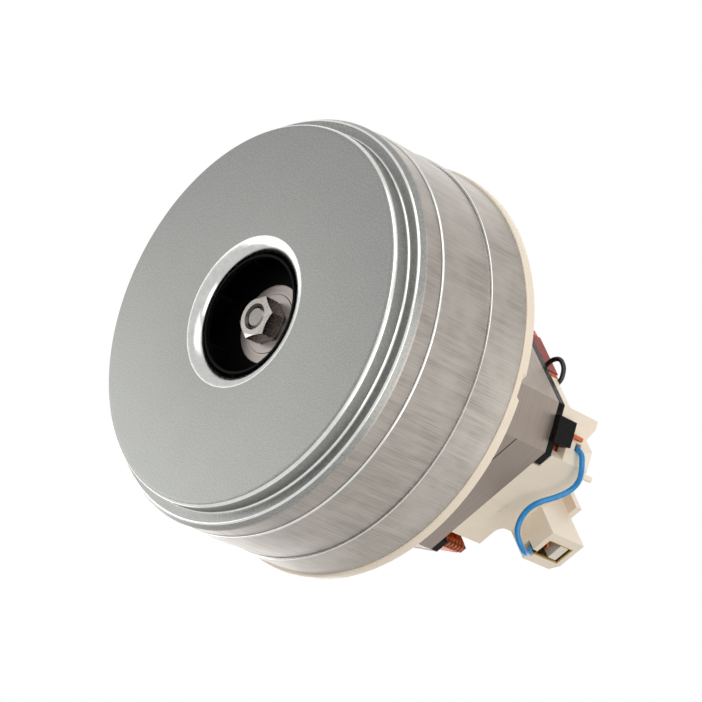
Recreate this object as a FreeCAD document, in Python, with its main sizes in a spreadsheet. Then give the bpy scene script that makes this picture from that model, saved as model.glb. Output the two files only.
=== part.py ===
"""Two-stage through-flow vacuum motor, modelled as an assembly of separate pieces.

Millimetres. The origin is the centre of the flat inlet face, +Z runs along the shaft to the rear bracket,
and +X points to the brush box whose jumper lead is in view.
"""
import FreeCAD, Part
import Sketcher
import math
import os

doc = FreeCAD.newDocument("VacuumMotor")
sheet = doc.addObject("Spreadsheet::Sheet", "Sizes")
parts = []


class Size:
    """A value together with the formula that ties it to the sheet."""

    def __init__(self, value, formula):
        self.value = value
        self.formula = formula

    def __add__(self, other):
        other = as_size(other)
        return Size(self.value + other.value, "({} + {})".format(self.formula, other.formula))

    def __sub__(self, other):
        other = as_size(other)
        return Size(self.value - other.value, "({} - {})".format(self.formula, other.formula))

    def __mul__(self, other):
        other = as_size(other)
        return Size(self.value * other.value, "({} * {})".format(self.formula, other.formula))

    def __truediv__(self, other):
        other = as_size(other)
        return Size(self.value / other.value, "({} / {})".format(self.formula, other.formula))

    def __neg__(self):
        return Size(-self.value, "(0 - {})".format(self.formula))

    def __rsub__(self, other):
        return as_size(other) - self

    def __rtruediv__(self, other):
        return as_size(other) / self

    __radd__ = __add__
    __rmul__ = __mul__


def as_size(number):
    """A plain number as a Size, so that both can be mixed."""
    return number if isinstance(number, Size) else Size(float(number), repr(float(number)))


def size(name, value):
    """A driving dimension: one row of the sheet, named by its alias."""
    row = str(len(sheet.getUsedCells()) // 2 + 1)
    sheet.set("A" + row, name)
    sheet.set("B" + row, str(value))
    sheet.setAlias("B" + row, name)
    return Size(float(value), "Sizes." + name)


def across(radius, angle):
    """X of a point at a radius and an angle in degrees."""
    radius = as_size(radius)
    angle = as_size(angle)
    formula = "({} * cos({} * 1 deg))".format(radius.formula, angle.formula)
    return Size(radius.value * math.cos(math.radians(angle.value)), formula)


def along(radius, angle):
    """Y of a point at a radius and an angle in degrees."""
    radius = as_size(radius)
    angle = as_size(angle)
    formula = "({} * sin({} * 1 deg))".format(radius.formula, angle.formula)
    return Size(radius.value * math.sin(math.radians(angle.value)), formula)


def root_of(radius, x):
    """Y of the point of a circle above x."""
    return Size(math.sqrt(radius.value ** 2 - x.value ** 2),
                "sqrt({} ^ 2 - {} ^ 2)".format(radius.formula, x.formula))


# Driving dimensions: fan housing

shell_sheet = size("shell_sheet", 0.8)
shell_fit = size("shell_fit", 0.05)
eye_radius = size("eye_radius", 21.4)
eye_roll = size("eye_roll", 4.5)
inlet_shell_radius = size("inlet_shell_radius", 70.3)
inlet_shell_length = size("inlet_shell_length", 15.6)
face_inset = size("face_inset", 7.1)
face_bend = size("face_bend", 1.9)
nose_depth = size("nose_depth", 6.4)
ledge_bend = size("ledge_bend", 1.0)
ledge_inset = size("ledge_inset", 2.0)
slope_depth = size("slope_depth", 2.9)
neck_lap = size("neck_lap", 5.0)
shoulder_step = size("shoulder_step", 0.7)
shell_lap = size("shell_lap", 6.0)
rear_shell_length = size("rear_shell_length", 16.4)
rear_shell_flare = size("rear_shell_flare", 0.4)
rim_lead = size("rim_lead", 2.4)
rim_depth = size("rim_depth", 3.6)
rim_proud = size("rim_proud", 2.0)
rim_wall = size("rim_wall", 3.0)
rim_notch_depth = size("rim_notch_depth", 1.8)
rim_notch_half = size("rim_notch_half", 4.5)
rim_notch_inset = size("rim_notch_inset", 0.4)

# Driving dimensions: fan stages

stage_pitch = size("stage_pitch", 26.0)
impeller_inset = size("impeller_inset", 8.3)
impeller_eye_radius = size("impeller_eye_radius", 20.4)
impeller_sheet = size("impeller_sheet", 0.8)
impeller_eye_front = size("impeller_eye_front", 2.6)
impeller_eye_depth = size("impeller_eye_depth", 3.4)
impeller_outlet_front = size("impeller_outlet_front", 7.8)
impeller_back = size("impeller_back", 13.2)
impeller_back_sheet = size("impeller_back_sheet", 1.0)
blade_count = size("blade_count", 7)
blade_sheet = size("blade_sheet", 0.9)
blade_curve = size("blade_curve", 48.0)
blade_sweep = size("blade_sweep", 62.0)
guide_gap = size("guide_gap", 1.8)
guide_inset = size("guide_inset", 5.8)
guide_sheet = size("guide_sheet", 0.8)
guide_hole_radius = size("guide_hole_radius", 9.0)
vane_count = size("vane_count", 9)
vane_sheet = size("vane_sheet", 1.2)
vane_curve = size("vane_curve", 52.0)
vane_sweep = size("vane_sweep", 58.0)
vane_inner_radius = size("vane_inner_radius", 27.0)
wall_plate_sheet = size("wall_plate_sheet", 0.8)
wall_eye_radius = size("wall_eye_radius", 21.6)

# Driving dimensions: shaft and bearings

shaft_radius = size("shaft_radius", 4.0)
shaft_core_radius = size("shaft_core_radius", 6.0)
shaft_recess = size("shaft_recess", 0.4)
shaft_set = size("shaft_set", 0.2)
thread_relief = size("thread_relief", 0.35)
nut_flats = size("nut_flats", 13.0)
nut_height = size("nut_height", 6.8)
washer_radius = size("washer_radius", 13.7)
washer_sheet = size("washer_sheet", 1.2)
washer_step_radius = size("washer_step_radius", 10.2)
washer_step = size("washer_step", 0.3)
spacer_radius = size("spacer_radius", 7.0)
race_outer_radius = size("race_outer_radius", 11.0)
race_width = size("race_width", 7.0)
race_land = size("race_land", 2.6)
ball_radius = size("ball_radius", 1.98)
ball_play = size("ball_play", 0.05)
ball_count = size("ball_count", 7)
cage_sheet = size("cage_sheet", 0.8)
bearing_lead = size("bearing_lead", 1.9)
hub_gap = size("hub_gap", 2.8)
cup_wall = size("cup_wall", 1.2)

# Driving dimensions: carrier

spigot_depth = size("spigot_depth", 2.0)
carrier_plate_sheet = size("carrier_plate_sheet", 3.0)
carrier_hub_wall = size("carrier_hub_wall", 4.0)
port_inner_radius = size("port_inner_radius", 21.0)
port_outer_radius = size("port_outer_radius", 44.0)
port_count = size("port_count", 12)
port_angle = size("port_angle", 20.0)
post_side = size("post_side", 9.0)
retainer_radius = size("retainer_radius", 14.5)
retainer_sheet = size("retainer_sheet", 1.0)
screw_radius = size("screw_radius", 2.0)
screw_head_radius = size("screw_head_radius", 3.6)
screw_head_height = size("screw_head_height", 2.6)
screw_fit = size("screw_fit", 0.3)
screw_boss_radius = size("screw_boss_radius", 6.0)
screw_depth = size("screw_depth", 8.0)

# Driving dimensions: field and armature

exhaust_gap = size("exhaust_gap", 10.0)
stack_length = size("stack_length", 33.0)
stack_half_x = size("stack_half_x", 43.0)
stack_half_y = size("stack_half_y", 39.9)
stack_chamfer = size("stack_chamfer", 12.5)
stack_yoke = size("stack_yoke", 8.5)
stack_groove_reach = size("stack_groove_reach", 17.6)
stack_groove = size("stack_groove", 0.5)
pole_neck_half = size("pole_neck_half", 11.0)
pole_shoe_depth = size("pole_shoe_depth", 4.4)
pole_half_angle = size("pole_half_angle", 58.0)
armature_radius = size("armature_radius", 21.5)
air_gap = size("air_gap", 0.6)
slot_count = size("slot_count", 12)
slot_opening = size("slot_opening", 1.4)
slot_half_width = size("slot_half_width", 2.3)
slot_depth = size("slot_depth", 9.5)
tooth_tip = size("tooth_tip", 1.2)
sleeve_wall = size("sleeve_wall", 1.5)
winding_inset = size("winding_inset", 1.9)
winding_front_reach = size("winding_front_reach", 7.6)
winding_rear_reach = size("winding_rear_reach", 12.0)
commutator_radius = size("commutator_radius", 12.5)
commutator_gap = size("commutator_gap", 3.0)
commutator_length = size("commutator_length", 22.6)
riser_proud = size("riser_proud", 2.5)
riser_width = size("riser_width", 3.4)
bar_count = size("bar_count", 24)
bar_gap = size("bar_gap", 0.5)
bar_depth = size("bar_depth", 1.6)
end_frame_sheet = size("end_frame_sheet", 3.3)
end_frame_wall = size("end_frame_wall", 7.0)
end_frame_stop = size("end_frame_stop", 22.0)
tower_width = size("tower_width", 9.0)
tower_proud = size("tower_proud", 2.4)
tower_depth = size("tower_depth", 6.5)
tower_height = size("tower_height", 5.7)
coil_side_inset = size("coil_side_inset", 4.6)
coil_open_inset = size("coil_open_inset", 1.5)
coil_front_inset = size("coil_front_inset", 13.0)
coil_clearance = size("coil_clearance", 0.9)
coil_edge_inset = size("coil_edge_inset", 6.5)
coil_crown = size("coil_crown", 3.4)
coil_crown_half = size("coil_crown_half", 12.6)
coil_corner = size("coil_corner", 8.4)
coil_window_corner = size("coil_window_corner", 9.0)
coil_gap = size("coil_gap", 0.3)
coil_front_depth = size("coil_front_depth", 6.8)
coil_rear_depth = size("coil_rear_depth", 10.4)
tape_sheet = size("tape_sheet", 0.5)
tape_half = size("tape_half", 9.0)

# Driving dimensions: rear bracket and brush gear

bracket_wall = size("bracket_wall", 3.4)
leg_foot = size("leg_foot", 3.0)
foot_reach = size("foot_reach", 4.0)
foot_half = size("foot_half", 17.0)
rib_reach = size("rib_reach", 12.0)
rib_sheet = size("rib_sheet", 2.4)
saddle_bend = size("saddle_bend", 3.2)
leg_near_side = size("leg_near_side", 21.4)
leg_far_side = size("leg_far_side", 17.3)
leg_rise = size("leg_rise", 15.0)
wall_rise = size("wall_rise", 22.8)
wall_notch_start = size("wall_notch_start", 2.1)
wall_notch_middle = size("wall_notch_middle", 5.4)
wall_notch_end = size("wall_notch_end", 7.5)
wall_notch_drop = size("wall_notch_drop", 1.3)
wall_notch_depth = size("wall_notch_depth", 4.5)
band_sheet = size("band_sheet", 3.2)
band_depth = size("band_depth", 3.0)
band_start = size("band_start", 17.0)
box_reach = size("box_reach", 12.0)
box_clearance = size("box_clearance", 1.0)
brush_box_half = size("brush_box_half", 7.3)
box_lead = size("box_lead", 6.0)
brush_box_depth = size("brush_box_depth", 17.2)
brush_width = size("brush_width", 6.4)
brush_depth = size("brush_depth", 11.2)
brush_length = size("brush_length", 22.0)
brush_gap = size("brush_gap", 0.3)
brush_play = size("brush_play", 0.1)
holder_sheet = size("holder_sheet", 0.6)
holder_set = size("holder_set", 1.4)
box_chamfer = size("box_chamfer", 3.0)
cap_start = size("cap_start", 0.9)
foot_boss_radius = size("foot_boss_radius", 4.2)
foot_boss_height = size("foot_boss_height", 10.0)
dimple_half = size("dimple_half", 1.9)
dimple_depth = size("dimple_depth", 0.4)
dimple_rise = size("dimple_rise", 9.0)
lead_hole_inset = size("lead_hole_inset", 4.4)
lead_hole_fit = size("lead_hole_fit", 0.45)
lead_hole_rise = size("lead_hole_rise", 15.1)
lead_notch_place = size("lead_notch_place", 3.6)
lead_notch_half = size("lead_notch_half", 1.4)
lead_notch_reach = size("lead_notch_reach", 4.2)
hub_wall = size("hub_wall", 2.6)
hub_lead_in = size("hub_lead_in", 1.0)
hub_end_gap = size("hub_end_gap", 0.3)
hub_end_sheet = size("hub_end_sheet", 2.0)
hub_hole_radius = size("hub_hole_radius", 5.0)
arm_sheet = size("arm_sheet", 3.0)
arm_half = size("arm_half", 11.0)
arm_set = size("arm_set", 3.0)
hub_web_radius = size("hub_web_radius", 19.0)
spring_radius = size("spring_radius", 2.5)
spring_wire = size("spring_wire", 0.35)
spring_turns = size("spring_turns", 7)
spring_set = size("spring_set", 5.0)
shunt_radius = size("shunt_radius", 0.8)
shunt_length = size("shunt_length", 8.0)
peg_radius = size("peg_radius", 1.1)
peg_length = size("peg_length", 6.0)
lead_radius = size("lead_radius", 1.0)
black_lead_radius = size("black_lead_radius", 0.85)
copper_lead_radius = size("copper_lead_radius", 0.9)
copper_lead_length = size("copper_lead_length", 5.0)
copper_lead_shift = size("copper_lead_shift", 1.1)
route_grid = size("route_grid", 1.0)

diagonal = as_size(math.sqrt(0.5))

# Radii that follow from the inlet shell

face_radius = inlet_shell_radius - face_inset
ledge_radius = inlet_shell_radius - ledge_inset
middle_shell_radius = inlet_shell_radius + shoulder_step
rim_radius = middle_shell_radius + rim_proud
impeller_radius = inlet_shell_radius - impeller_inset
guide_radius = inlet_shell_radius - guide_inset

# Stations along the shaft, each from the one before it

rim_front = stage_pitch * 2 + rim_lead
rim_rear = rim_front + rim_depth
rear_shell_front = rim_front - rear_shell_length
carrier_plate_front = rim_front - spigot_depth
front_bearing_front = carrier_plate_front - bearing_lead
shaft_front = impeller_back - washer_sheet - nut_height + shaft_recess
stack_front = rim_rear + exhaust_gap
stack_rear = stack_front + stack_length
stack_groove_place = stack_front + stack_groove_reach
frame_rear = stack_rear + end_frame_sheet
frame_front = stack_front - end_frame_sheet
winding_front = stack_front - winding_front_reach
winding_rear = stack_rear + winding_rear_reach
commutator_front = winding_rear + commutator_gap
commutator_rear = commutator_front + commutator_length
leg_top = stack_rear + leg_rise
corner_wall_top = stack_rear + wall_rise
lead_hole_z = stack_rear + lead_hole_rise
brush_box_front = commutator_front + box_lead
brush_axis = brush_box_front + brush_box_depth / 2
rear_bearing_front = brush_box_front + brush_box_depth + hub_gap
shaft_rear = rear_bearing_front + race_width - shaft_set

# Places across the shaft that follow from the field stack, the armature and the commutator

bore_radius = armature_radius + air_gap
pole_shoe_radius = bore_radius + pole_shoe_depth
winding_radius = armature_radius - winding_inset
riser_radius = commutator_radius + riser_proud
screw_place = stack_half_x - stack_yoke / 2
coil_rear_half = stack_half_x - coil_side_inset
coil_open_half = stack_half_x - coil_open_inset
coil_front_half = stack_half_x - coil_front_inset
coil_inner = armature_radius + coil_clearance
coil_outer = stack_half_y - coil_edge_inset
rib_start = stack_half_x - rib_reach
arm_end = stack_half_x - arm_set
brush_box_start = riser_radius + box_clearance
brush_box_end = stack_half_x + box_reach
holder_end = brush_box_end - holder_set
spring_seat = holder_end - spring_set
lead_hole_x = stack_half_x - lead_hole_inset
lead_hole_y = lead_hole_x - stack_half_x - stack_half_y + stack_chamfer


# Drawing helpers

def plane_of(body, role):
    """One of the body's own origin planes or axes."""
    for feature in body.Origin.OriginFeatures:
        if feature.Role == role:
            return feature
    raise RuntimeError("no " + role)


def new_body(label):
    """A sub-part; its label names its file."""
    body = doc.addObject("PartDesign::Body", label)
    body.Label = label
    parts.append(body)
    return body


def bind(thing, path, value):
    """Tie a property to the sheet where its value comes from there."""
    if "Sizes." in value.formula:
        thing.setExpression(path, value.formula)


def new_sketch(body, name, role="XY_Plane", offset=0):
    """A sketch on an origin plane, moved along the plane's normal."""
    offset = as_size(offset)
    sketch = body.newObject("Sketcher::SketchObject", name)
    sketch.AttachmentSupport = [(plane_of(body, role), "")]
    sketch.MapMode = "FlatFace"
    sketch.AttachmentOffset = FreeCAD.Placement(FreeCAD.Vector(0, 0, offset.value), FreeCAD.Rotation())
    bind(sketch, "AttachmentOffset.Base.z", offset)
    return sketch


def pin_point(sketch, geometry, position, x, y, rules, formulas):
    """Hold a point at x and y from the sketch's origin."""
    for kind, value, axis in (("DistanceX", as_size(x), -2), ("DistanceY", as_size(y), -1)):
        if value.value == 0:
            rules.append(Sketcher.Constraint("PointOnObject", geometry, position, axis))
            formulas.append(None)
        else:
            rules.append(Sketcher.Constraint(kind, -1, 1, geometry, position, value.value))
            formulas.append(value)


def apply_rules(sketch, rules, formulas):
    """Add the constraints, then bind those whose values come from the sheet."""
    first = sketch.ConstraintCount
    sketch.addConstraint(rules)
    for index, value in enumerate(formulas):
        if value is not None:
            bind(sketch, "Constraints[{}]".format(first + index), value)


def arc_through(start, end, radius):
    """The short arc from start to end; a positive radius turns left."""
    chord = end - start
    middle = (start + end) * 0.5
    rise = math.sqrt(max(radius * radius - chord.Length * chord.Length / 4, 0))
    left = FreeCAD.Vector(-chord.y, chord.x, 0).normalize()
    centre = middle + left * (rise if radius > 0 else -rise)
    first, last = (start, end) if radius > 0 else (end, start)
    begin = math.atan2(first.y - centre.y, first.x - centre.x)
    finish = math.atan2(last.y - centre.y, last.x - centre.x)
    circle = Part.Circle(centre, FreeCAD.Vector(0, 0, 1), abs(radius))
    return Part.ArcOfCircle(circle, begin, finish)


def draw(sketch, outline):
    """A closed outline. A vertex is (x, y), or (x, y, bend) where an arc of that radius follows it."""
    count = len(outline)
    points = [FreeCAD.Vector(as_size(v[0]).value, as_size(v[1]).value, 0) for v in outline]
    first = sketch.GeometryCount
    shapes = []
    ends = []
    for index, vertex in enumerate(outline):
        start = points[index]
        end = points[(index + 1) % count]
        if len(vertex) == 3:
            shapes.append(arc_through(start, end, as_size(vertex[2]).value))
            ends.append((1, 2) if as_size(vertex[2]).value > 0 else (2, 1))
        else:
            shapes.append(Part.LineSegment(start, end))
            ends.append((1, 2))
    sketch.addGeometry(shapes, False)
    rules = []
    formulas = []
    for index, vertex in enumerate(outline):
        following = (index + 1) % count
        rules.append(Sketcher.Constraint("Coincident", first + index, ends[index][1],
                                         first + following, ends[following][0]))
        formulas.append(None)
        pin_point(sketch, first + index, ends[index][0], vertex[0], vertex[1], rules, formulas)
        if len(vertex) == 3:
            bend = as_size(vertex[2])
            bend = bend if bend.value > 0 else -bend
            rules.append(Sketcher.Constraint("Radius", first + index, bend.value))
            formulas.append(bend)
    apply_rules(sketch, rules, formulas)


def draw_circle(sketch, radius, x=0, y=0):
    """A full circle."""
    radius = as_size(radius)
    centre = FreeCAD.Vector(as_size(x).value, as_size(y).value, 0)
    index = sketch.addGeometry(Part.Circle(centre, FreeCAD.Vector(0, 0, 1), radius.value), False)
    rules = [Sketcher.Constraint("Radius", index, radius.value)]
    formulas = [radius]
    pin_point(sketch, index, 3, x, y, rules, formulas)
    apply_rules(sketch, rules, formulas)


def box_outline(x_low, x_high, y_low, y_high):
    """The four corners of a rectangle."""
    return [(x_low, y_low), (x_high, y_low), (x_high, y_high), (x_low, y_high)]


def turn(body, name, outline, kind="PartDesign::Revolution"):
    """Revolve an outline of (radius, z) about the shaft axis."""
    sketch = new_sketch(body, name + "_profile", "XZ_Plane")
    draw(sketch, outline)
    feature = body.newObject(kind, name)
    feature.Profile = sketch
    feature.ReferenceAxis = (sketch, ["V_Axis"])
    feature.Angle = 360
    return feature


def groove(body, name, outline):
    """Cut a revolved outline out of the body."""
    return turn(body, name, outline, "PartDesign::Groove")


def pad_sketch(body, name, sketch, length):
    """Pad a sketch along its normal."""
    feature = body.newObject("PartDesign::Pad", name)
    feature.Profile = sketch
    feature.Length = length.value
    bind(feature, "Length", length)
    return feature


def pad(body, name, outline, low, high, role="XY_Plane"):
    """Pad an outline between two distances along the plane's normal."""
    low = as_size(low)
    sketch = new_sketch(body, name + "_profile", role, low)
    draw(sketch, outline)
    return pad_sketch(body, name, sketch, as_size(high) - low)


def pad_circle(body, name, radius, low, high, x=0, y=0):
    """Pad a round boss along Z."""
    low = as_size(low)
    sketch = new_sketch(body, name + "_profile", "XY_Plane", low)
    draw_circle(sketch, radius, x, y)
    return pad_sketch(body, name, sketch, as_size(high) - low)


def cut_sketch(body, name, sketch, length):
    """Cut a sketch along its normal."""
    feature = body.newObject("PartDesign::Pocket", name)
    feature.Profile = sketch
    feature.Reversed = True
    feature.Length = length.value
    bind(feature, "Length", length)
    return feature


def cut(body, name, outline, low, high, role="XY_Plane"):
    """Cut an outline between two distances along the plane's normal."""
    low = as_size(low)
    sketch = new_sketch(body, name + "_profile", role, low)
    draw(sketch, outline)
    return cut_sketch(body, name, sketch, as_size(high) - low)


def cut_circle(body, name, radius, low, high, x=0, y=0):
    """Cut a round hole along Z."""
    low = as_size(low)
    sketch = new_sketch(body, name + "_profile", "XY_Plane", low)
    draw_circle(sketch, radius, x, y)
    return cut_sketch(body, name, sketch, as_size(high) - low)


def repeat(body, name, features, count):
    """Repeat features evenly round the shaft axis."""
    count = as_size(count)
    pattern = body.newObject("PartDesign::PolarPattern", name)
    pattern.Originals = features
    pattern.Axis = (plane_of(body, "Z_Axis"), [""])
    pattern.Angle = 360
    pattern.Occurrences = int(count.value)
    bind(pattern, "Occurrences", count)
    body.Tip = pattern
    return pattern


def solid_feature(label, shape):
    """A sub-part whose shape no sketch or primitive gives."""
    feature = doc.addObject("Part::Feature", label)
    feature.Label = label
    feature.Shape = shape
    parts.append(feature)
    return feature


# Fan housing

def make_inlet_shell():
    """Front shell: flat inlet face with a rolled eye lip, and a stepped, sloped shoulder."""
    body = new_body("inlet_shell")
    roll_end = eye_radius + eye_roll
    wall = face_radius + face_bend
    slope_end = nose_depth + slope_depth
    lip_radius = eye_roll - shell_sheet
    inner_bend = face_bend - shell_sheet
    turn(body, "shell", [
        (roll_end, 0),
        (face_radius, 0, face_bend),
        (wall, face_bend),
        (wall, nose_depth - ledge_bend, -ledge_bend),
        (wall + ledge_bend, nose_depth),
        (ledge_radius, nose_depth, ledge_bend),
        (ledge_radius + ledge_bend * 0.8, nose_depth + ledge_bend * 0.55),
        (inlet_shell_radius, slope_end),
        (inlet_shell_radius, inlet_shell_length),
        (inlet_shell_radius - shell_sheet, inlet_shell_length),
        (inlet_shell_radius - shell_sheet, slope_end + shell_sheet * 0.4),
        (ledge_radius - shell_sheet * 0.2, nose_depth + shell_sheet),
        (wall + ledge_bend - shell_sheet, nose_depth + shell_sheet),
        (wall - shell_sheet, nose_depth - ledge_bend + shell_sheet),
        (wall - shell_sheet, face_bend),
        (face_radius + inner_bend * diagonal, face_bend - inner_bend * diagonal),
        (face_radius, shell_sheet),
        (roll_end, shell_sheet, lip_radius),
        (eye_radius + shell_sheet, eye_roll),
        (eye_radius, eye_roll, -eye_roll),
    ])


def make_middle_shell():
    """Second shell: its neck slips into the first, its shoulder butts against it."""
    body = new_body("middle_shell")
    neck = inlet_shell_radius - shell_sheet - shell_fit
    neck_front = inlet_shell_length - neck_lap
    rear = rear_shell_front + shell_lap
    turn(body, "shell", [
        (neck, neck_front),
        (neck, inlet_shell_length),
        (middle_shell_radius - face_bend / 3, inlet_shell_length, face_bend / 3),
        (middle_shell_radius, inlet_shell_length + face_bend / 3),
        (middle_shell_radius, rear),
        (middle_shell_radius - shell_sheet, rear),
        (middle_shell_radius - shell_sheet, inlet_shell_length + shell_sheet),
        (neck - shell_sheet, inlet_shell_length + shell_sheet),
        (neck - shell_sheet, neck_front),
    ])


def make_rear_shell():
    """Third shell: laps over the second and stands flared on the carrier rim."""
    body = new_body("rear_shell")
    inner = middle_shell_radius + shell_fit
    outer = inner + shell_sheet
    turn(body, "shell", [
        (inner, rear_shell_front),
        (outer, rear_shell_front),
        (outer, rim_front - rear_shell_flare * 3),
        (outer + rear_shell_flare, rim_front - rear_shell_flare),
        (outer + rear_shell_flare, rim_front),
        (inner + rear_shell_flare, rim_front),
        (inner, rim_front - rear_shell_flare * 3),
    ])


def make_interstage_plate():
    """Wall between the stages, with the second eye and a rim flange against the middle shell's shoulder."""
    body = new_body("interstage_plate")
    outer = middle_shell_radius - shell_sheet - shell_fit
    front = inlet_shell_length + shell_sheet
    turn(body, "plate", [
        (wall_eye_radius, stage_pitch),
        (outer - wall_plate_sheet, stage_pitch),
        (outer - wall_plate_sheet, front),
        (outer, front),
        (outer, stage_pitch + wall_plate_sheet),
        (wall_eye_radius + eye_roll / 2, stage_pitch + wall_plate_sheet),
        (wall_eye_radius + wall_plate_sheet, stage_pitch + eye_roll / 2),
        (wall_eye_radius, stage_pitch + eye_roll / 2),
    ])


# Fan stages

def curved_blade(inner, outer, sweep, curve, sheet):
    """A curved blade seen along the shaft: two arcs, a sheet apart."""
    swing = as_size(sheet) / as_size(outer) * (180 / math.pi) * 1.2
    inner_swing = as_size(sheet) / as_size(inner) * (180 / math.pi)
    return [
        (across(inner, 0), along(inner, 0), -curve),
        (across(outer, -sweep), along(outer, -sweep)),
        (across(outer, -sweep - swing), along(outer, -sweep - swing), curve),
        (across(inner, -inner_swing), along(inner, -inner_swing)),
    ]


def make_impeller(label, shift):
    """Backward-curved impeller: back plate, blades and a dished shroud with an eye ring."""
    body = new_body(label)
    eye = impeller_eye_radius
    back = impeller_back + shift
    back_rear = back + impeller_back_sheet
    front = impeller_eye_front + shift
    throat = front + impeller_eye_depth
    outlet = impeller_outlet_front + shift
    turn(body, "back_plate", [
        (shaft_radius + shell_fit, back),
        (impeller_radius, back),
        (impeller_radius, back_rear),
        (shaft_radius + shell_fit, back_rear),
    ])
    outline = curved_blade(eye - 1.0, impeller_radius - 0.6, blade_sweep, blade_curve, blade_sheet)
    blade = pad(body, "blade", outline, front + 1.2, back + impeller_back_sheet / 2)
    repeat(body, "blades", [blade], blade_count)
    groove(body, "shroud_line", [
        (eye - 3.0, front - 1.0),
        (impeller_radius + 2.0, front - 1.0),
        (impeller_radius + 2.0, outlet + impeller_sheet / 2),
        (eye + 6.0, throat + impeller_sheet / 2),
        (eye, front + impeller_sheet * 2),
        (eye - 3.0, throat - 0.8),
    ])
    turn(body, "shroud", [
        (eye, front),
        (eye, front + impeller_sheet * 2, -impeller_eye_depth * 1.6),
        (eye + 6.0, throat),
        (impeller_radius, outlet),
        (impeller_radius, outlet + impeller_sheet),
        (eye + 6.0, throat + impeller_sheet, impeller_eye_depth * 1.6 + impeller_sheet),
        (eye - impeller_sheet, front + impeller_sheet * 2),
        (eye - impeller_sheet, front),
    ])


def make_return_guide(label, front, rear):
    """Disc behind an impeller, with return vanes that bring the air back to the shaft."""
    body = new_body(label)
    turn(body, "disc", [
        (guide_hole_radius, front),
        (guide_radius, front),
        (guide_radius, front + guide_sheet),
        (guide_hole_radius, front + guide_sheet),
    ])
    outline = curved_blade(vane_inner_radius, guide_radius - 0.8, vane_sweep, vane_curve, vane_sheet)
    vane = pad(body, "vane", outline, front + guide_sheet / 2, rear)
    repeat(body, "vanes", [vane], vane_count)


def make_fan_stages():
    """Both impellers and both return guides."""
    guide_front = impeller_back + impeller_back_sheet + guide_gap
    make_impeller("front_impeller", as_size(0))
    make_impeller("rear_impeller", stage_pitch)
    make_return_guide("front_return_guide", guide_front, stage_pitch)
    make_return_guide("rear_return_guide", guide_front + stage_pitch, carrier_plate_front)


# Shaft line

def ring(label, inner, outer, low, high):
    """A plain turned ring."""
    body = new_body(label)
    turn(body, "ring", [(inner, low), (outer, low), (outer, high), (inner, high)])
    return body


def make_shaft():
    """Stepped shaft with a relieved, threaded front end."""
    body = new_body("shaft")
    thread_end = shaft_front + nut_height + washer_sheet
    front_race = front_bearing_front + race_width
    chamfer = thread_relief * 2
    turn(body, "shaft_body", [
        (0, shaft_front),
        (shaft_radius - thread_relief - chamfer, shaft_front),
        (shaft_radius - thread_relief, shaft_front + chamfer),
        (shaft_radius - thread_relief, thread_end),
        (shaft_radius, thread_end + thread_relief),
        (shaft_radius, front_race),
        (shaft_core_radius, front_race),
        (shaft_core_radius, rear_bearing_front),
        (shaft_radius, rear_bearing_front),
        (shaft_radius, shaft_rear - chamfer),
        (shaft_radius - chamfer, shaft_rear),
        (0, shaft_rear),
    ])


def make_nut():
    """Hexagon nut with chamfered corners."""
    body = new_body("shaft_nut")
    front = impeller_back - washer_sheet - nut_height
    rear = front + nut_height
    corner = nut_flats / math.sqrt(3)
    chamfer = nut_flats * 0.07
    outline = [(across(corner, 60 * step + 20), along(corner, 60 * step + 20)) for step in range(6)]
    pad(body, "hexagon", outline, front, rear)
    cut_circle(body, "thread_hole", shaft_radius - thread_relief + shell_fit, front, rear)
    groove(body, "corner_chamfer", [
        (nut_flats / 2, front),
        (corner + 1.0, front),
        (corner + 1.0, front + chamfer * 1.6),
    ])
    groove(body, "hole_chamfer", [
        (shaft_radius - 1.5, front),
        (shaft_radius + 0.5, front),
        (shaft_radius - 1.5, front + 2.0),
    ])


def make_clamp_washer(label, front):
    """Hub washer: wide, with a faint inner step."""
    body = new_body(label)
    rear = front + washer_sheet
    turn(body, "washer", [
        (shaft_radius + shell_fit, front),
        (washer_step_radius, front),
        (washer_step_radius, front + washer_step),
        (washer_radius - washer_step, front + washer_step),
        (washer_radius, front + washer_step * 2),
        (washer_radius, rear),
        (shaft_radius + shell_fit, rear),
    ])


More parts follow.
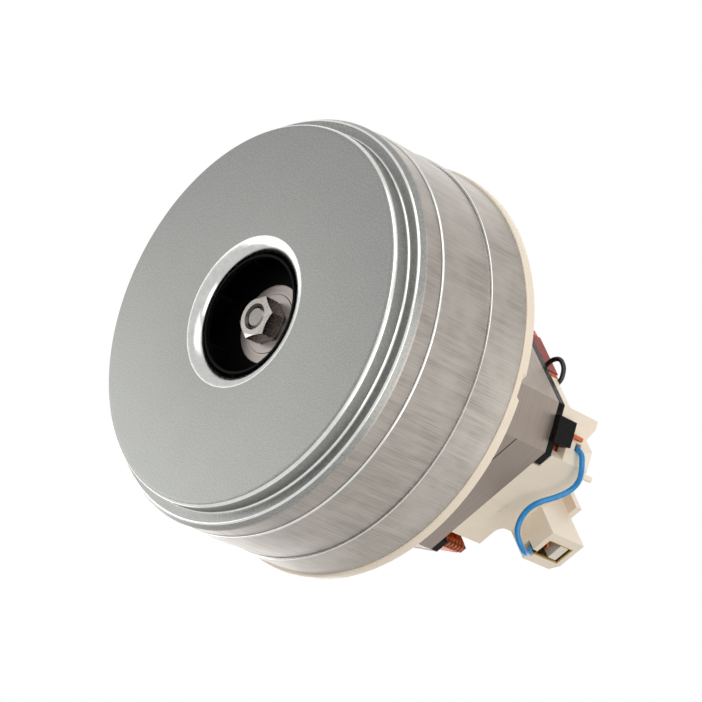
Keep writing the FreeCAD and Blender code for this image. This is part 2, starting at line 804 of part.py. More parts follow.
def make_bearing(name, front, race_radius):
    """Deep-groove ball bearing: outer race, inner race, and balls in their cage."""
    rear = front + race_width
    middle = front + race_width / 2
    pitch = (race_outer_radius + shaft_radius) / 2
    groove_radius = ball_radius + ball_play
    outer_land = race_outer_radius - race_land + ball_radius * 0.2
    inner_land = shaft_radius + race_land - ball_radius * 0.2
    outer_race = new_body(name + "_outer_race")
    turn(outer_race, "race", [
        (outer_land, front), (race_outer_radius, front),
        (race_outer_radius, rear), (outer_land, rear)])
    inner_race = new_body(name + "_inner_race")
    turn(inner_race, "race", [
        (shaft_radius, front), (inner_land, front),
        (inner_land, rear), (shaft_radius, rear)])
    for race in (outer_race, inner_race):
        sketch = new_sketch(race, "track_profile", "XZ_Plane")
        draw_circle(sketch, groove_radius, pitch, middle)
        track = race.newObject("PartDesign::Groove", "track")
        track.Profile = sketch
        track.ReferenceAxis = (sketch, ["V_Axis"])
        track.Angle = 360
    cage = new_body(name + "_balls")
    turn(cage, "cage", [
        (pitch - cage_sheet / 2, middle - cage_sheet),
        (pitch + cage_sheet / 2, middle - cage_sheet),
        (pitch + cage_sheet / 2, middle + cage_sheet),
        (pitch - cage_sheet / 2, middle + cage_sheet),
    ])
    ball = cage.newObject("PartDesign::AdditiveSphere", "ball")
    ball.AttachmentSupport = [(plane_of(cage, "XY_Plane"), "")]
    ball.MapMode = "FlatFace"
    ball.AttachmentOffset = FreeCAD.Placement(
        FreeCAD.Vector(pitch.value, 0, middle.value), FreeCAD.Rotation())
    bind(ball, "AttachmentOffset.Base.x", pitch)
    bind(ball, "AttachmentOffset.Base.z", middle)
    ball.Radius = ball_radius.value
    bind(ball, "Radius", ball_radius)
    repeat(cage, "ball_set", [ball], ball_count)


def make_shaft_line():
    """Everything that is threaded on the shaft between the nut and the rear bearing."""
    washer_front = impeller_back - washer_sheet
    plate_rear = impeller_back + impeller_back_sheet
    bore = shaft_radius + shell_fit
    make_shaft()
    make_nut()
    make_clamp_washer("front_clamp_washer", washer_front)
    ring("impeller_spacer", bore, spacer_radius, plate_rear, washer_front + stage_pitch)
    make_clamp_washer("rear_clamp_washer", washer_front + stage_pitch)
    ring("bearing_spacer", bore, spacer_radius - 0.8, plate_rear + stage_pitch, front_bearing_front)
    make_bearing("front_bearing", front_bearing_front, shaft_radius)
    make_bearing("rear_bearing", rear_bearing_front, shaft_radius)


# Carrier

def make_carrier():
    """Moulded bulkhead: rim, spigot, ported plate, bearing hub and four posts for the field."""
    body = new_body("carrier_plate")
    spigot = middle_shell_radius - shell_fit * 2
    plate_rear = carrier_plate_front + carrier_plate_sheet
    hub_inner = race_outer_radius
    hub_outer = hub_inner + carrier_hub_wall
    hub_rear = front_bearing_front + race_width
    turn(body, "plate", [
        (shaft_core_radius + 1.4, front_bearing_front - 1.0),
        (hub_outer, front_bearing_front - 1.0),
        (hub_outer, carrier_plate_front),
        (spigot, carrier_plate_front),
        (spigot, rim_front),
        (rim_radius - 0.4, rim_front),
        (rim_radius, rim_front + 0.4),
        (rim_radius, rim_rear - 0.4),
        (rim_radius - 0.4, rim_rear),
        (rim_radius - rim_wall, rim_rear),
        (rim_radius - rim_wall, plate_rear),
        (hub_outer, plate_rear),
        (hub_outer, hub_rear),
        (hub_inner, hub_rear),
        (hub_inner, front_bearing_front),
        (shaft_core_radius + 1.4, front_bearing_front),
    ])
    port_middle = 180 / port_count
    first = port_middle - port_angle / 2
    last = port_middle + port_angle / 2
    port = cut(body, "port", [
        (across(port_inner_radius, first), along(port_inner_radius, first)),
        (across(port_outer_radius, first), along(port_outer_radius, first), port_outer_radius),
        (across(port_outer_radius, last), along(port_outer_radius, last)),
        (across(port_inner_radius, last), along(port_inner_radius, last), -port_inner_radius),
    ], carrier_plate_front, plate_rear)
    repeat(body, "ports", [port], port_count)
    inset = stack_chamfer / 2
    x = stack_half_x - inset
    y = stack_half_y - inset
    half_side = post_side / 2
    for name, across_sign, along_sign in (("a", 1, 1), ("b", -1, 1), ("c", -1, -1), ("d", 1, -1)):
        low_x = x * across_sign - half_side - across_sign * 1.2
        low_y = y * along_sign - half_side - along_sign * 1.2
        pad(body, "post_" + name,
            box_outline(low_x, low_x + post_side, low_y, low_y + post_side),
            plate_rear - 0.5, frame_front)
    for name, sign in (("left", 1), ("right", -1)):
        pad_circle(body, "screw_boss_" + name, screw_boss_radius, carrier_plate_front, frame_front,
                   screw_place * sign, 0)
        cut_circle(body, "screw_hole_" + name, screw_radius + screw_fit,
                   carrier_plate_front, frame_front, screw_place * sign, 0)
        cut_circle(body, "screw_seat_" + name, screw_head_radius + screw_fit,
                   carrier_plate_front, carrier_plate_front + screw_head_height, screw_place * sign, 0)
    for name, angle, shift in (("side", -44.0, 2.2), ("foot", 44.3, 0), ("back", 145.6, 0)):
        place = rim_radius - rim_notch_inset + shift
        x_middle = across(place, angle)
        y_middle = along(place, angle)
        cut(body, "rim_notch_" + name,
            box_outline(x_middle - rim_notch_half, x_middle + rim_notch_half,
                        y_middle - rim_notch_half, y_middle + rim_notch_half),
            rim_rear - rim_notch_depth, rim_rear)


def make_retainer():
    """Plate that holds the front bearing in its hub, with its three screws."""
    body = new_body("bearing_retainer")
    low = front_bearing_front + race_width
    high = low + retainer_sheet
    turn(body, "plate", [
        (race_outer_radius - race_land, low), (retainer_radius, low),
        (retainer_radius, high), (race_outer_radius - race_land, high)])
    place = race_outer_radius + carrier_hub_wall / 2
    hole = cut_circle(body, "hole", screw_radius / 2 + shell_fit, low, high, place, 0)
    repeat(body, "holes", [hole], 3)
    screws = new_body("retainer_screws")
    screw = pad_circle(screws, "head", screw_radius * 0.9, high, high + 1.0, place, 0)
    repeat(screws, "heads", [screw], 3)


# Field and armature

def mirrored_x(outline):
    """The outline mirrored across the YZ plane."""
    return [(-v[0], v[1]) + tuple(-bend for bend in v[2:]) for v in outline]


def half_turned(outline):
    """The outline turned by half a turn about the shaft axis."""
    return [(-v[0], -v[1]) + tuple(v[2:]) for v in outline]


def stack_outline(inset=0):
    """The field's outline: a rectangle with chamfered corners."""
    inset = as_size(inset)
    x = stack_half_x - inset
    y = stack_half_y - inset
    side = stack_chamfer - inset * 0.586
    return [
        (x, -(y - side)), (x, y - side), (x - side, y), (-(x - side), y),
        (-x, y - side), (-x, -(y - side)), (-(x - side), -y), (x - side, -y)]


def make_stator_core():
    """Lamination stack: yoke with chamfered corners and two pole shoes round the bore."""
    body = new_body("stator_core")
    x = stack_half_x - stack_yoke
    y = stack_half_y - stack_yoke
    tip_angle = 90 - pole_half_angle
    pad(body, "yoke", stack_outline(), stack_front, stack_rear)
    bore = bore_radius
    shoe = pole_shoe_radius
    corner = stack_chamfer * 0.75
    neck = pole_neck_half
    shoe_height = root_of(shoe, neck)
    right = [
        (across(bore, -tip_angle), along(bore, -tip_angle)),
        (across(shoe, -tip_angle), along(shoe, -tip_angle), -shoe),
        (neck, -shoe_height),
        (neck, -y),
        (x - corner, -y),
        (x, -(y - corner)),
        (x, y - corner),
        (x - corner, y),
        (neck, y),
        (neck, shoe_height, -shoe),
        (across(shoe, tip_angle), along(shoe, tip_angle)),
        (across(bore, tip_angle), along(bore, tip_angle)),
    ]
    cut(body, "window_right", right, stack_front, stack_rear)
    cut(body, "window_left", mirrored_x(right), stack_front, stack_rear)
    cut_circle(body, "bore", bore_radius, stack_front, stack_rear)
    for name, sign in (("right", 1), ("left", -1)):
        cut_circle(body, "screw_hole_" + name, screw_radius + screw_fit, stack_front, stack_rear,
                   screw_place * sign, 0)
        edge = stack_half_x * sign
        inner = (stack_half_x - stack_groove) * sign
        cut(body, "face_groove_" + name, [
            (inner, -(stack_half_y - stack_chamfer)), (edge, -(stack_half_y - stack_chamfer)),
            (edge, stack_half_y - stack_chamfer), (inner, stack_half_y - stack_chamfer)],
            stack_groove_place, stack_groove_place + stack_groove)


def make_front_end_frame():
    """Black insulating frame on the front of the stack."""
    body = new_body("front_end_frame")
    pad(body, "frame", stack_outline(), frame_front, stack_front)
    cut(body, "opening", stack_outline(end_frame_wall), frame_front, stack_front)
    for name, sign in (("right", 1), ("left", -1)):
        cut_circle(body, "screw_hole_" + name, screw_radius + screw_fit, frame_front, stack_front,
                   screw_place * sign, 0)


def make_rear_end_frame(label, sign):
    """Black insulating half frame with its terminal tower at one chamfered corner."""
    body = new_body(label)
    x = stack_half_x
    y = stack_half_y
    wall = end_frame_wall
    stop = end_frame_stop
    side = stack_chamfer
    inner_side = side - wall * 0.586
    outline = [
        (x, -stop), (x - wall, -stop), (x - wall, -(y - wall - inner_side)),
        (x - wall - inner_side, -(y - wall)), (-(x - wall - inner_side), -(y - wall)),
        (-(x - wall), -(y - wall - inner_side)), (-(x - wall), -stop), (-x, -stop),
        (-x, -(y - side)), (-(x - side), -y), (x - side, -y), (x, -(y - side)),
    ]
    middle_x = x - side / 2
    middle_y = y - side / 2
    half = tower_width / 2 * diagonal
    out = tower_proud * diagonal
    deep = (tower_depth - tower_proud) * diagonal
    tower = [
        (middle_x + half + out, -(middle_y - half + out)),
        (middle_x + half - deep, -(middle_y - half - deep)),
        (middle_x - half - deep, -(middle_y + half - deep)),
        (middle_x - half + out, -(middle_y + half + out)),
    ]
    if sign < 0:
        outline = half_turned(outline)
        tower = half_turned(tower)
    pad(body, "frame", outline, stack_rear, frame_rear)
    pad(body, "tower", tower, stack_rear, frame_rear + tower_height)
    return body


def coil_turn_outline(open_half, half_width, outer, crown):
    """A coil's end turn seen along the shaft, with a bulging open end and a raised crown."""
    return [
        (open_half, coil_inner),
        (open_half, outer - coil_corner),
        (open_half - coil_corner, outer),
        (coil_crown_half + crown, outer),
        (coil_crown_half, outer + crown),
        (-coil_crown_half, outer + crown),
        (-(coil_crown_half + crown), outer),
        (-(half_width - coil_corner), outer),
        (-half_width, outer - coil_corner),
        (-half_width, coil_inner),
    ]


def make_field_coil(label, sign):
    """One field coil: two sides in the stack's windows, joined by end turns that flare outwards."""
    body = new_body(label)
    place = half_turned if sign < 0 else list
    low = frame_front - coil_gap - coil_front_depth
    high = frame_rear + coil_gap + coil_rear_depth
    window_x = stack_half_x - stack_yoke - coil_gap
    window_y = stack_half_y - stack_yoke - coil_gap
    shoe = pole_shoe_radius + coil_gap
    neck = pole_neck_half + coil_gap
    tip_angle = 90 - pole_half_angle
    shoe_height = root_of(shoe, neck)
    side = [
        (neck, window_y),
        (neck, shoe_height, -shoe),
        (across(shoe, tip_angle), along(shoe, tip_angle)),
        (window_x, along(shoe, tip_angle)),
        (window_x, window_y - coil_window_corner),
        (window_x - coil_window_corner, window_y),
    ]
    pad(body, "right_side", place(side), low, high)
    front_turn = coil_turn_outline(coil_front_half, coil_front_half, window_y, 0.1)
    pad(body, "front_turn", place(front_turn), low, frame_front - coil_gap)
    rear_turn = coil_turn_outline(coil_open_half, coil_rear_half, coil_outer, coil_crown)
    pad(body, "rear_turn", place(rear_turn), frame_rear + coil_gap, high)
    pad(body, "left_side", place(mirrored_x(side)), low, high)


def make_coil_tape():
    """Tape wound round the rear end turn of the lower coil."""
    body = new_body("coil_tape")
    low = frame_rear + coil_gap
    high = low + coil_rear_depth
    outer = coil_outer + coil_crown
    half = tape_half
    pad(body, "wrap", [
        (-half, -(coil_inner - tape_sheet)), (half, -(coil_inner - tape_sheet)),
        (half, -(outer + tape_sheet)), (-half, -(outer + tape_sheet))],
        low - tape_sheet / 2, high + tape_sheet)
    cut(body, "coil_space", [(-half, -coil_inner), (half, -coil_inner), (half, -outer), (-half, -outer)],
        low, high)


def make_armature():
    """Slotted armature core with its winding, the insulating sleeve and the commutator."""
    sleeve_radius = shaft_core_radius + sleeve_wall
    ring("shaft_sleeve", shaft_core_radius, sleeve_radius, winding_front, commutator_rear)
    core = new_body("armature_core")
    turn(core, "stack", [
        (sleeve_radius, stack_front), (armature_radius, stack_front),
        (armature_radius, stack_rear), (sleeve_radius, stack_rear)])
    shoulder = armature_radius - tooth_tip
    bottom = armature_radius - slot_depth
    slot = cut(core, "slot", [
        (armature_radius + 1.0, -(slot_opening / 2)),
        (shoulder, -(slot_opening / 2)),
        (shoulder - 1.0, -slot_half_width),
        (bottom, -(slot_half_width * 0.6)),
        (bottom, slot_half_width * 0.6),
        (shoulder - 1.0, slot_half_width),
        (shoulder, slot_opening / 2),
        (armature_radius + 1.0, slot_opening / 2),
    ], stack_front, stack_rear)
    repeat(core, "slots", [slot], slot_count)
    winding = new_body("armature_winding")
    round_off = (winding_radius - sleeve_radius) / 3
    turn(winding, "rear_turns", [
        (sleeve_radius, stack_rear),
        (winding_radius, stack_rear),
        (winding_radius, winding_rear - round_off * 1.6),
        (winding_radius - round_off, winding_rear - round_off * 0.5),
        (sleeve_radius + round_off, winding_rear),
        (sleeve_radius, winding_rear),
    ])
    bar = pad(winding, "bar", [
        (shoulder - 1.2, -(slot_half_width - 0.2)),
        (shoulder - 1.2, slot_half_width - 0.2),
        (bottom + 0.2, slot_half_width * 0.6 - 0.2),
        (bottom + 0.2, -(slot_half_width * 0.6 - 0.2)),
    ], stack_front, stack_rear)
    repeat(winding, "bars", [bar], slot_count)
    turn(winding, "front_turns", [
        (sleeve_radius, winding_front),
        (sleeve_radius + round_off, winding_front),
        (winding_radius - round_off / 2, winding_front + round_off / 2),
        (winding_radius, winding_front + round_off),
        (winding_radius, stack_front),
        (sleeve_radius, stack_front),
    ])
    commutator = new_body("commutator")
    turn(commutator, "copper", [
        (sleeve_radius, commutator_front),
        (riser_radius, commutator_front),
        (riser_radius, commutator_front + riser_width),
        (commutator_radius, commutator_front + riser_width),
        (commutator_radius, commutator_rear),
        (sleeve_radius, commutator_rear),
    ])
    gap = cut(commutator, "gap", box_outline(commutator_radius - bar_depth, riser_radius + 1.0,
                                             -(bar_gap / 2), bar_gap / 2),
              commutator_front, commutator_rear)
    repeat(commutator, "gaps", [gap], bar_count)


def make_field():
    """Core, end frames and coils."""
    make_stator_core()
    make_front_end_frame()
    make_rear_end_frame("near_rear_end_frame", 1)
    make_rear_end_frame("far_rear_end_frame", -1)
    make_field_coil("upper_field_coil", 1)
    make_field_coil("lower_field_coil", -1)
    make_coil_tape()


# Rear bracket

def make_rear_bracket():
    """Moulded bracket: two legs with corner walls, two brush boxes, and the rear bearing hub."""
    body = new_body("rear_bracket")
    inner_x = stack_half_x - bracket_wall
    box_rear = brush_box_front + brush_box_depth
    half = brush_box_half
    chamfer_y = stack_half_y - stack_chamfer
    chamfer_x = stack_half_x - stack_chamfer
    hub_front = rear_bearing_front - hub_lead_in
    hub_rear = rear_bearing_front + race_width + hub_end_gap + hub_end_sheet
    hub_inner = race_outer_radius + cup_wall
    hub_outer = hub_inner + hub_wall
    wall_slant = bracket_wall * 0.414
    turn(body, "hub", [
        (hub_inner, box_rear),
        (hub_web_radius, box_rear),
        (hub_web_radius, box_rear + arm_sheet),
        (hub_outer, box_rear + arm_sheet),
        (hub_outer, hub_rear - 1.0),
        (hub_outer - 1.0, hub_rear),
        (hub_hole_radius, hub_rear),
        (hub_hole_radius, hub_rear - hub_end_sheet),
        (hub_inner, hub_rear - hub_end_sheet),
    ])
    arm = pad(body, "arm", box_outline(hub_inner + 1.0, arm_end, -arm_half, arm_half),
              box_rear, box_rear + arm_sheet)
    box = pad(body, "brush_box", [
        (-half, brush_box_front),
        (half, brush_box_front),
        (half, box_rear - box_chamfer),
        (half - box_chamfer, box_rear),
        (-half, box_rear),
    ], brush_box_start, brush_box_end, "YZ_Plane")
    leg = pad(body, "leg", [
        (-leg_near_side, stack_rear),
        (leg_far_side, stack_rear),
        (leg_far_side, leg_top),
        (half + saddle_bend, leg_top, -saddle_bend),
        (half, leg_top + saddle_bend),
        (half, corner_wall_top),
        (-chamfer_y, corner_wall_top),
        (-chamfer_y, frame_rear + coil_gap),
        (-leg_near_side, frame_rear + coil_gap),
    ], inner_x, stack_half_x, "YZ_Plane")
    foot = pad(body, "foot", box_outline(screw_place - foot_reach, inner_x + 0.5, -foot_half, foot_half),
               stack_rear, stack_rear + leg_foot)
    rib_one = pad(body, "rib_one", box_outline(rib_start, inner_x + 0.5, half - rib_sheet, half),
                  stack_rear + leg_foot - 0.5, brush_box_front + 0.5)
    rib_two = pad(body, "rib_two", box_outline(rib_start, inner_x + 0.5, -half, -(half - rib_sheet)),
                  stack_rear + leg_foot - 0.5, brush_box_front + 0.5)
    corner_wall = pad(body, "corner_wall", [
        (stack_half_x, -chamfer_y),
        (stack_half_x, -(chamfer_y - 3.0)),
        (inner_x, -(chamfer_y - 3.0)),
        (inner_x, -(chamfer_y - wall_slant)),
        (chamfer_x - wall_slant, -(stack_half_y - bracket_wall)),
        (chamfer_x, -stack_half_y),
    ], frame_rear + tower_height + coil_gap, corner_wall_top)
    post = (stack_chamfer - tower_width * diagonal) / 2 - 0.4
    slant = bracket_wall * diagonal
    corner_post = pad(body, "corner_post", [
        (chamfer_x, -stack_half_y),
        (chamfer_x + post, -(stack_half_y - post)),
        (chamfer_x + post - slant, -(stack_half_y - post - slant)),
        (chamfer_x - slant, -(stack_half_y - slant)),
    ], frame_rear, corner_wall_top)
    band = pad(body, "band", box_outline(band_start, chamfer_x, -stack_half_y, -(stack_half_y - band_sheet)),
               frame_rear, frame_rear + band_depth)
    peg = pad_circle(body, "peg", peg_radius, corner_wall_top - 1.0, corner_wall_top + peg_length,
                     stack_half_x - peg_radius - 0.2, -(chamfer_y - 3.0))
    foot_boss = pad_circle(body, "foot_boss", foot_boss_radius, stack_rear, stack_rear + foot_boss_height,
                           screw_place, 0)
    repeat(body, "both_sides",
           [arm, box, leg, foot, rib_one, rib_two, corner_wall, corner_post, band, peg, foot_boss], 2)
    pocket_y = brush_width / 2 + brush_play + holder_sheet + shell_fit
    pocket_z = brush_depth / 2 + brush_play + holder_sheet + shell_fit
    pocket = cut(body, "brush_pocket", box_outline(-pocket_y, pocket_y, brush_axis - pocket_z,
                                                   brush_axis + pocket_z),
                 brush_box_start - 1.0, brush_box_end, "YZ_Plane")
    screw_hole = cut_circle(body, "screw_hole", screw_radius + shell_fit, stack_rear,
                            stack_rear + screw_depth + screw_fit, screw_place, 0)
    dimple = cut(body, "dimple",
                 box_outline(-dimple_half, dimple_half, stack_rear, stack_rear + dimple_rise),
                 stack_half_x - dimple_depth, stack_half_x, "YZ_Plane")
    wall_notch = cut(body, "wall_notch", [
        (chamfer_x - wall_notch_start, corner_wall_top + wall_notch_start),
        (chamfer_x - wall_notch_start, corner_wall_top - wall_notch_drop),
        (chamfer_x + wall_notch_start, corner_wall_top - wall_notch_drop),
        (chamfer_x + wall_notch_middle, corner_wall_top - wall_notch_depth),
        (chamfer_x + wall_notch_end, corner_wall_top),
        (chamfer_x + wall_notch_end, corner_wall_top + wall_notch_start),
    ], chamfer_y, stack_half_y + 1.0, "XZ_Plane")
    lead_notch = cut(body, "lead_notch",
                     box_outline(lead_notch_place - lead_notch_half, lead_notch_place + lead_notch_half,
                                 brush_box_front, brush_axis - pocket_z),
                     brush_box_end - lead_notch_reach, brush_box_end, "YZ_Plane")
    side = (lead_radius + lead_hole_fit) * diagonal
    out = lead_hole_fit * 2 * diagonal
    deep = bracket_wall * 1.5 * diagonal
    lead_hole = cut(body, "lead_hole", [
        (lead_hole_x + side + out, lead_hole_y + side - out),
        (lead_hole_x - side + out, lead_hole_y - side - out),
        (lead_hole_x - side - deep, lead_hole_y - side + deep),
        (lead_hole_x + side - deep, lead_hole_y + side + deep),
    ], lead_hole_z - lead_radius - lead_hole_fit, lead_hole_z + lead_radius + lead_hole_fit)
    repeat(body, "both_cuts", [pocket, screw_hole, dimple, wall_notch, lead_notch, lead_hole], 2)


def make_brush_gear(name, sign):
    """Brass holder, carbon brush, shunt, spring, clip and cap of one brush box."""
    middle = brush_axis
    inner_y = brush_width / 2 + brush_play
    inner_z = brush_depth / 2 + brush_play
    outer_y = inner_y + holder_sheet
    outer_z = inner_z + holder_sheet
    brush_face = commutator_radius + brush_gap
    brush_end = brush_face + brush_length

    def span(low, high):
        """Distances along X on this side of the shaft."""
        return (low, high) if sign > 0 else (-high, -low)

    def placed(y_low, y_high, z_low, z_high):
        """A rectangle in the YZ plane, turned with its side of the shaft."""
        if sign > 0:
            return box_outline(y_low, y_high, z_low, z_high)
        return box_outline(-y_high, -y_low, z_low, z_high)

    holder = new_body(name + "_brush_holder")
    low, high = span(brush_box_start - 1.0, holder_end)
    pad(holder, "tube", placed(-outer_y, outer_y, middle - outer_z, middle + outer_z),
        low, high, "YZ_Plane")
    cut(holder, "channel", placed(-inner_y, inner_y, middle - inner_z, middle + inner_z),
        low, high, "YZ_Plane")

    brush = new_body(name + "_brush")
    low, high = span(commutator_radius - 1.5, brush_end)
    pad(brush, "block", placed(-(brush_width / 2), brush_width / 2, middle - brush_depth / 2,
                               middle + brush_depth / 2), low, high, "YZ_Plane")
    cut_circle(brush, "contact_face", brush_face, middle - brush_depth / 2, middle + brush_depth / 2)

    shunt = new_body(name + "_brush_shunt")
    low, high = span(brush_end, brush_end + shunt_length)
    sketch = new_sketch(shunt, "wire_profile", "YZ_Plane", low)
    draw_circle(sketch, shunt_radius, 0, middle)
    pad_sketch(shunt, "wire", sketch, shunt_length)

    clip = new_body(name + "_brush_clip")
    low, high = span(spring_seat, spring_seat + holder_sheet)
    pad(clip, "seat", placed(-(brush_width / 2), brush_width / 2, middle - brush_depth / 2,
                             middle + brush_depth / 2), low, high, "YZ_Plane")
    low, high = span(spring_seat, holder_end)
    pad(clip, "front_leg", placed(-(brush_width / 2), brush_width / 2, middle - brush_depth / 2,
                                  middle - brush_depth / 2 + holder_sheet), low, high, "YZ_Plane")
    pad(clip, "rear_leg", placed(-(brush_width / 2), brush_width / 2, middle + brush_depth / 2 - holder_sheet,
                                 middle + brush_depth / 2), low, high, "YZ_Plane")

    cap = new_body(name + "_brush_cap")
    low, high = span(spring_seat + holder_sheet, brush_box_end - 0.6)
    pad(cap, "tab", placed(-(brush_width / 2), brush_width / 2, middle + cap_start,
                           middle + brush_depth / 2 - holder_sheet), low, high, "YZ_Plane")

    coil_length = spring_seat.value - brush_end.value - 2 * spring_wire.value
    helix = Part.makeHelix(coil_length / spring_turns.value, coil_length, spring_radius.value)
    section = Part.Wire(Part.makePolygon([
        FreeCAD.Vector(spring_radius.value + spring_wire.value * math.cos(math.radians(60 * step)), 0,
                       spring_wire.value * math.sin(math.radians(60 * step))) for step in range(7)]))
    spring = Part.Wire(helix).makePipeShell([section], True, True)
    spring.rotate(FreeCAD.Vector(0, 0, 0), FreeCAD.Vector(0, 1, 0), 90 * sign)
    start = (brush_end.value + spring_wire.value) * sign
    spring.translate(FreeCAD.Vector(start, 0, middle.value))
    solid_feature(name + "_brush_spring", spring)


def make_field_screws():
    """Two long screws, sunk in the carrier, that run through the stack into the bracket's feet."""
    body = new_body("field_screws")
    seat = carrier_plate_front + screw_head_height
    head = pad_circle(body, "head", screw_head_radius, carrier_plate_front + shell_fit, seat, screw_place, 0)
    shank = pad_circle(body, "shank", screw_radius, seat, stack_rear + screw_depth, screw_place, 0)
    repeat(body, "pair", [head, shank], 2)


def make_bearing_cup():
    """Rubber cup round the rear bearing."""
    body = new_body("bearing_cup")
    rear = rear_bearing_front + race_width
    turn(body, "cup", [
        (race_outer_radius, rear_bearing_front), (race_outer_radius + cup_wall, rear_bearing_front),
        (race_outer_radius + cup_wall, rear), (race_outer_radius, rear)])


# Leads

def rounded_route(points):
    """Straight runs joined by tangent arcs, each as large as its two runs allow."""
    edges = []
    radii = []
    here = points[0]
    for index in range(1, len(points) - 1):
        corner = points[index]
        before = corner - points[index - 1]
        after = points[index + 1] - corner
        reach = 0.45 * min(before.Length, after.Length)
        turn_angle = before.getAngle(after)
        radii.append(reach / math.tan(turn_angle / 2))
        start = corner - before.normalize() * reach
        end = corner + after.normalize() * reach
        inward = (start + end) * 0.5 - corner
        sagitta = radii[-1] / math.cos(turn_angle / 2) - radii[-1]
        crown = corner + inward.normalize() * sagitta
        if (start - here).Length > 0.01:
            edges.append(Part.LineSegment(here, start).toShape())
        edges.append(Part.Arc(start, crown, end).toShape())
        here = end
    edges.append(Part.LineSegment(here, points[-1]).toShape())
    return Part.Wire(edges), radii


def make_lead(label, points, radius):
    """A sleeved wire swept along its route, whose points lie on the route grid."""
    places = [FreeCAD.Vector(*point) * route_grid.value for point in points]
    wire, radii = rounded_route(places)
    first = places[0]
    heading = places[1] - first
    section = Part.Wire(Part.makeCircle(radius, first, heading))
    tube = wire.makePipeShell([section], True, True)
    solid_feature(label, tube)
    expected = math.pi * radius * radius * wire.Length
    print(label, "radii", [round(value, 1) for value in radii], "length", round(wire.Length, 1),
          "volume share", round(tube.Volume / expected, 3))


def make_leads():
    """The blue jumper to the near brush box, the black loop, and the coil's bare end in its tower."""
    make_lead("blue_lead", [
        (37.9, -31.1, 116.1),
        (41.3, -32.5, 116.0),
        (44.8, -30.8, 116.2),
        (46.6, -28.0, 118.0),
        (47.2, -24.9, 119.8),
        (48.0, -21.3, 119.3),
        (48.7, -18.4, 117.1),
        (49.2, -15.8, 114.4),
        (49.5, -13.4, 111.7),
        (49.5, -10.1, 110.1),
        (50.0, -6.5, 109.8),
        (51.4, -3.1, 110.0),
        (54.0, -0.5, 110.4),
        (56.6, 0.8, 111.9),
        (58.6, 2.3, 115.0),
        (57.6, 3.1, 118.2),
        (55.0, 3.6, 121.5),
        (52.8, 3.6, 123.5),
    ], lead_radius.value)
    make_lead("black_lead", [
        (7.6, -37.3, 109.2),
        (7.6, -41.0, 109.2),
        (10.0, -43.8, 108.8),
        (14.2, -43.6, 108.8),
        (17.2, -40.6, 109.0),
        (17.2, -37.4, 109.2),
        (14.6, -34.8, 109.2),
    ], black_lead_radius.value)
    copper = new_body("copper_lead")
    middle_x = stack_half_x - stack_chamfer / 2
    middle_y = stack_half_y - stack_chamfer / 2
    top = frame_rear + tower_height
    wire = pad_circle(copper, "wire", copper_lead_radius, top, top + copper_lead_length,
                      middle_x + copper_lead_shift, -(middle_y + copper_lead_shift))
    repeat(copper, "both_ends", [wire], 2)


# Output

def write_parts():
    """Check every object and shape, then write one file for each sub-part."""
    doc.recompute()
    for thing in doc.Objects:
        if "Invalid" in thing.State or "Error" in thing.State:
            raise RuntimeError("{} failed: {}".format(thing.Label, thing.State))
    os.makedirs("parts", exist_ok=True)
    for part in parts:
        shape = part.Shape
        if shape.isNull() or not shape.isValid():
            raise RuntimeError(part.Label + " has no valid shape")
        shape.exportStep(os.path.join("parts", part.Label + ".step"))
        print("{:28s} {:10.1f} mm3 {:2d}".format(part.Label, shape.Volume, len(shape.Solids)))


make_inlet_shell()
make_middle_shell()
make_rear_shell()
make_interstage_plate()
make_fan_stages()
make_shaft_line()
make_carrier()
make_retainer()
make_field()
make_armature()
make_rear_bracket()
make_brush_gear("near", 1)
make_brush_gear("far", -1)
make_field_screws()
make_bearing_cup()
make_leads()
write_parts()
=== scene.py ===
"""Looks for the two-stage vacuum motor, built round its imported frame. Millimetres in the helpers, metres in Blender."""
import math
import random

import bmesh
import bpy
from mathutils import Matrix, Vector


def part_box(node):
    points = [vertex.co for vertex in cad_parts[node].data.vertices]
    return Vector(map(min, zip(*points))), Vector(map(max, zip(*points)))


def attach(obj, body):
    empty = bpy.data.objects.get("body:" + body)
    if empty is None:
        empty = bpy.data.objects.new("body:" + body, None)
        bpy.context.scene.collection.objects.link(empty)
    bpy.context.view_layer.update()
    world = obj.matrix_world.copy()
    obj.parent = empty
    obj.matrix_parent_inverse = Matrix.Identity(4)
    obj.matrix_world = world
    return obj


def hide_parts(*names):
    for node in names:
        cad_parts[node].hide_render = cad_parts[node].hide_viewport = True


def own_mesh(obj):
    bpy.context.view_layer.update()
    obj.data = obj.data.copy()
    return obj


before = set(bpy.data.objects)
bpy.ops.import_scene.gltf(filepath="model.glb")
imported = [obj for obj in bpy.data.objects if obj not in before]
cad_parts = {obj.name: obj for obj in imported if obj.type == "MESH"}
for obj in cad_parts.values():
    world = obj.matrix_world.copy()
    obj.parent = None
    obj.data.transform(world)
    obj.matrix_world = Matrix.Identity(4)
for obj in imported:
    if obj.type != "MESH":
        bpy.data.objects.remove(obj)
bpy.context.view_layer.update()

bl_info = {
    "name": "Vacuum motor looks",
    "version": (1, 0, 0),
    "blender": (4, 5, 0),
    "location": "View3D > Sidebar > Motor",
    "description": "Dresses a packed vacuum motor with turned shells, wound coils, leads and finishes",
    "category": "Object",
}

MM = 0.001


def linear(code):
    """A hex colour as linear red, green and blue."""
    channels = [int(code[i:i + 2], 16) / 255 for i in (1, 3, 5)]
    return tuple(c / 12.92 if c <= 0.04045 else ((c + 0.055) / 1.055) ** 2.4 for c in channels)


def colour(code, name, description):
    """A colour that a user can change."""
    return bpy.props.FloatVectorProperty(
        name=name, description=description, subtype="COLOR", size=3, min=0, max=1, default=linear(code))


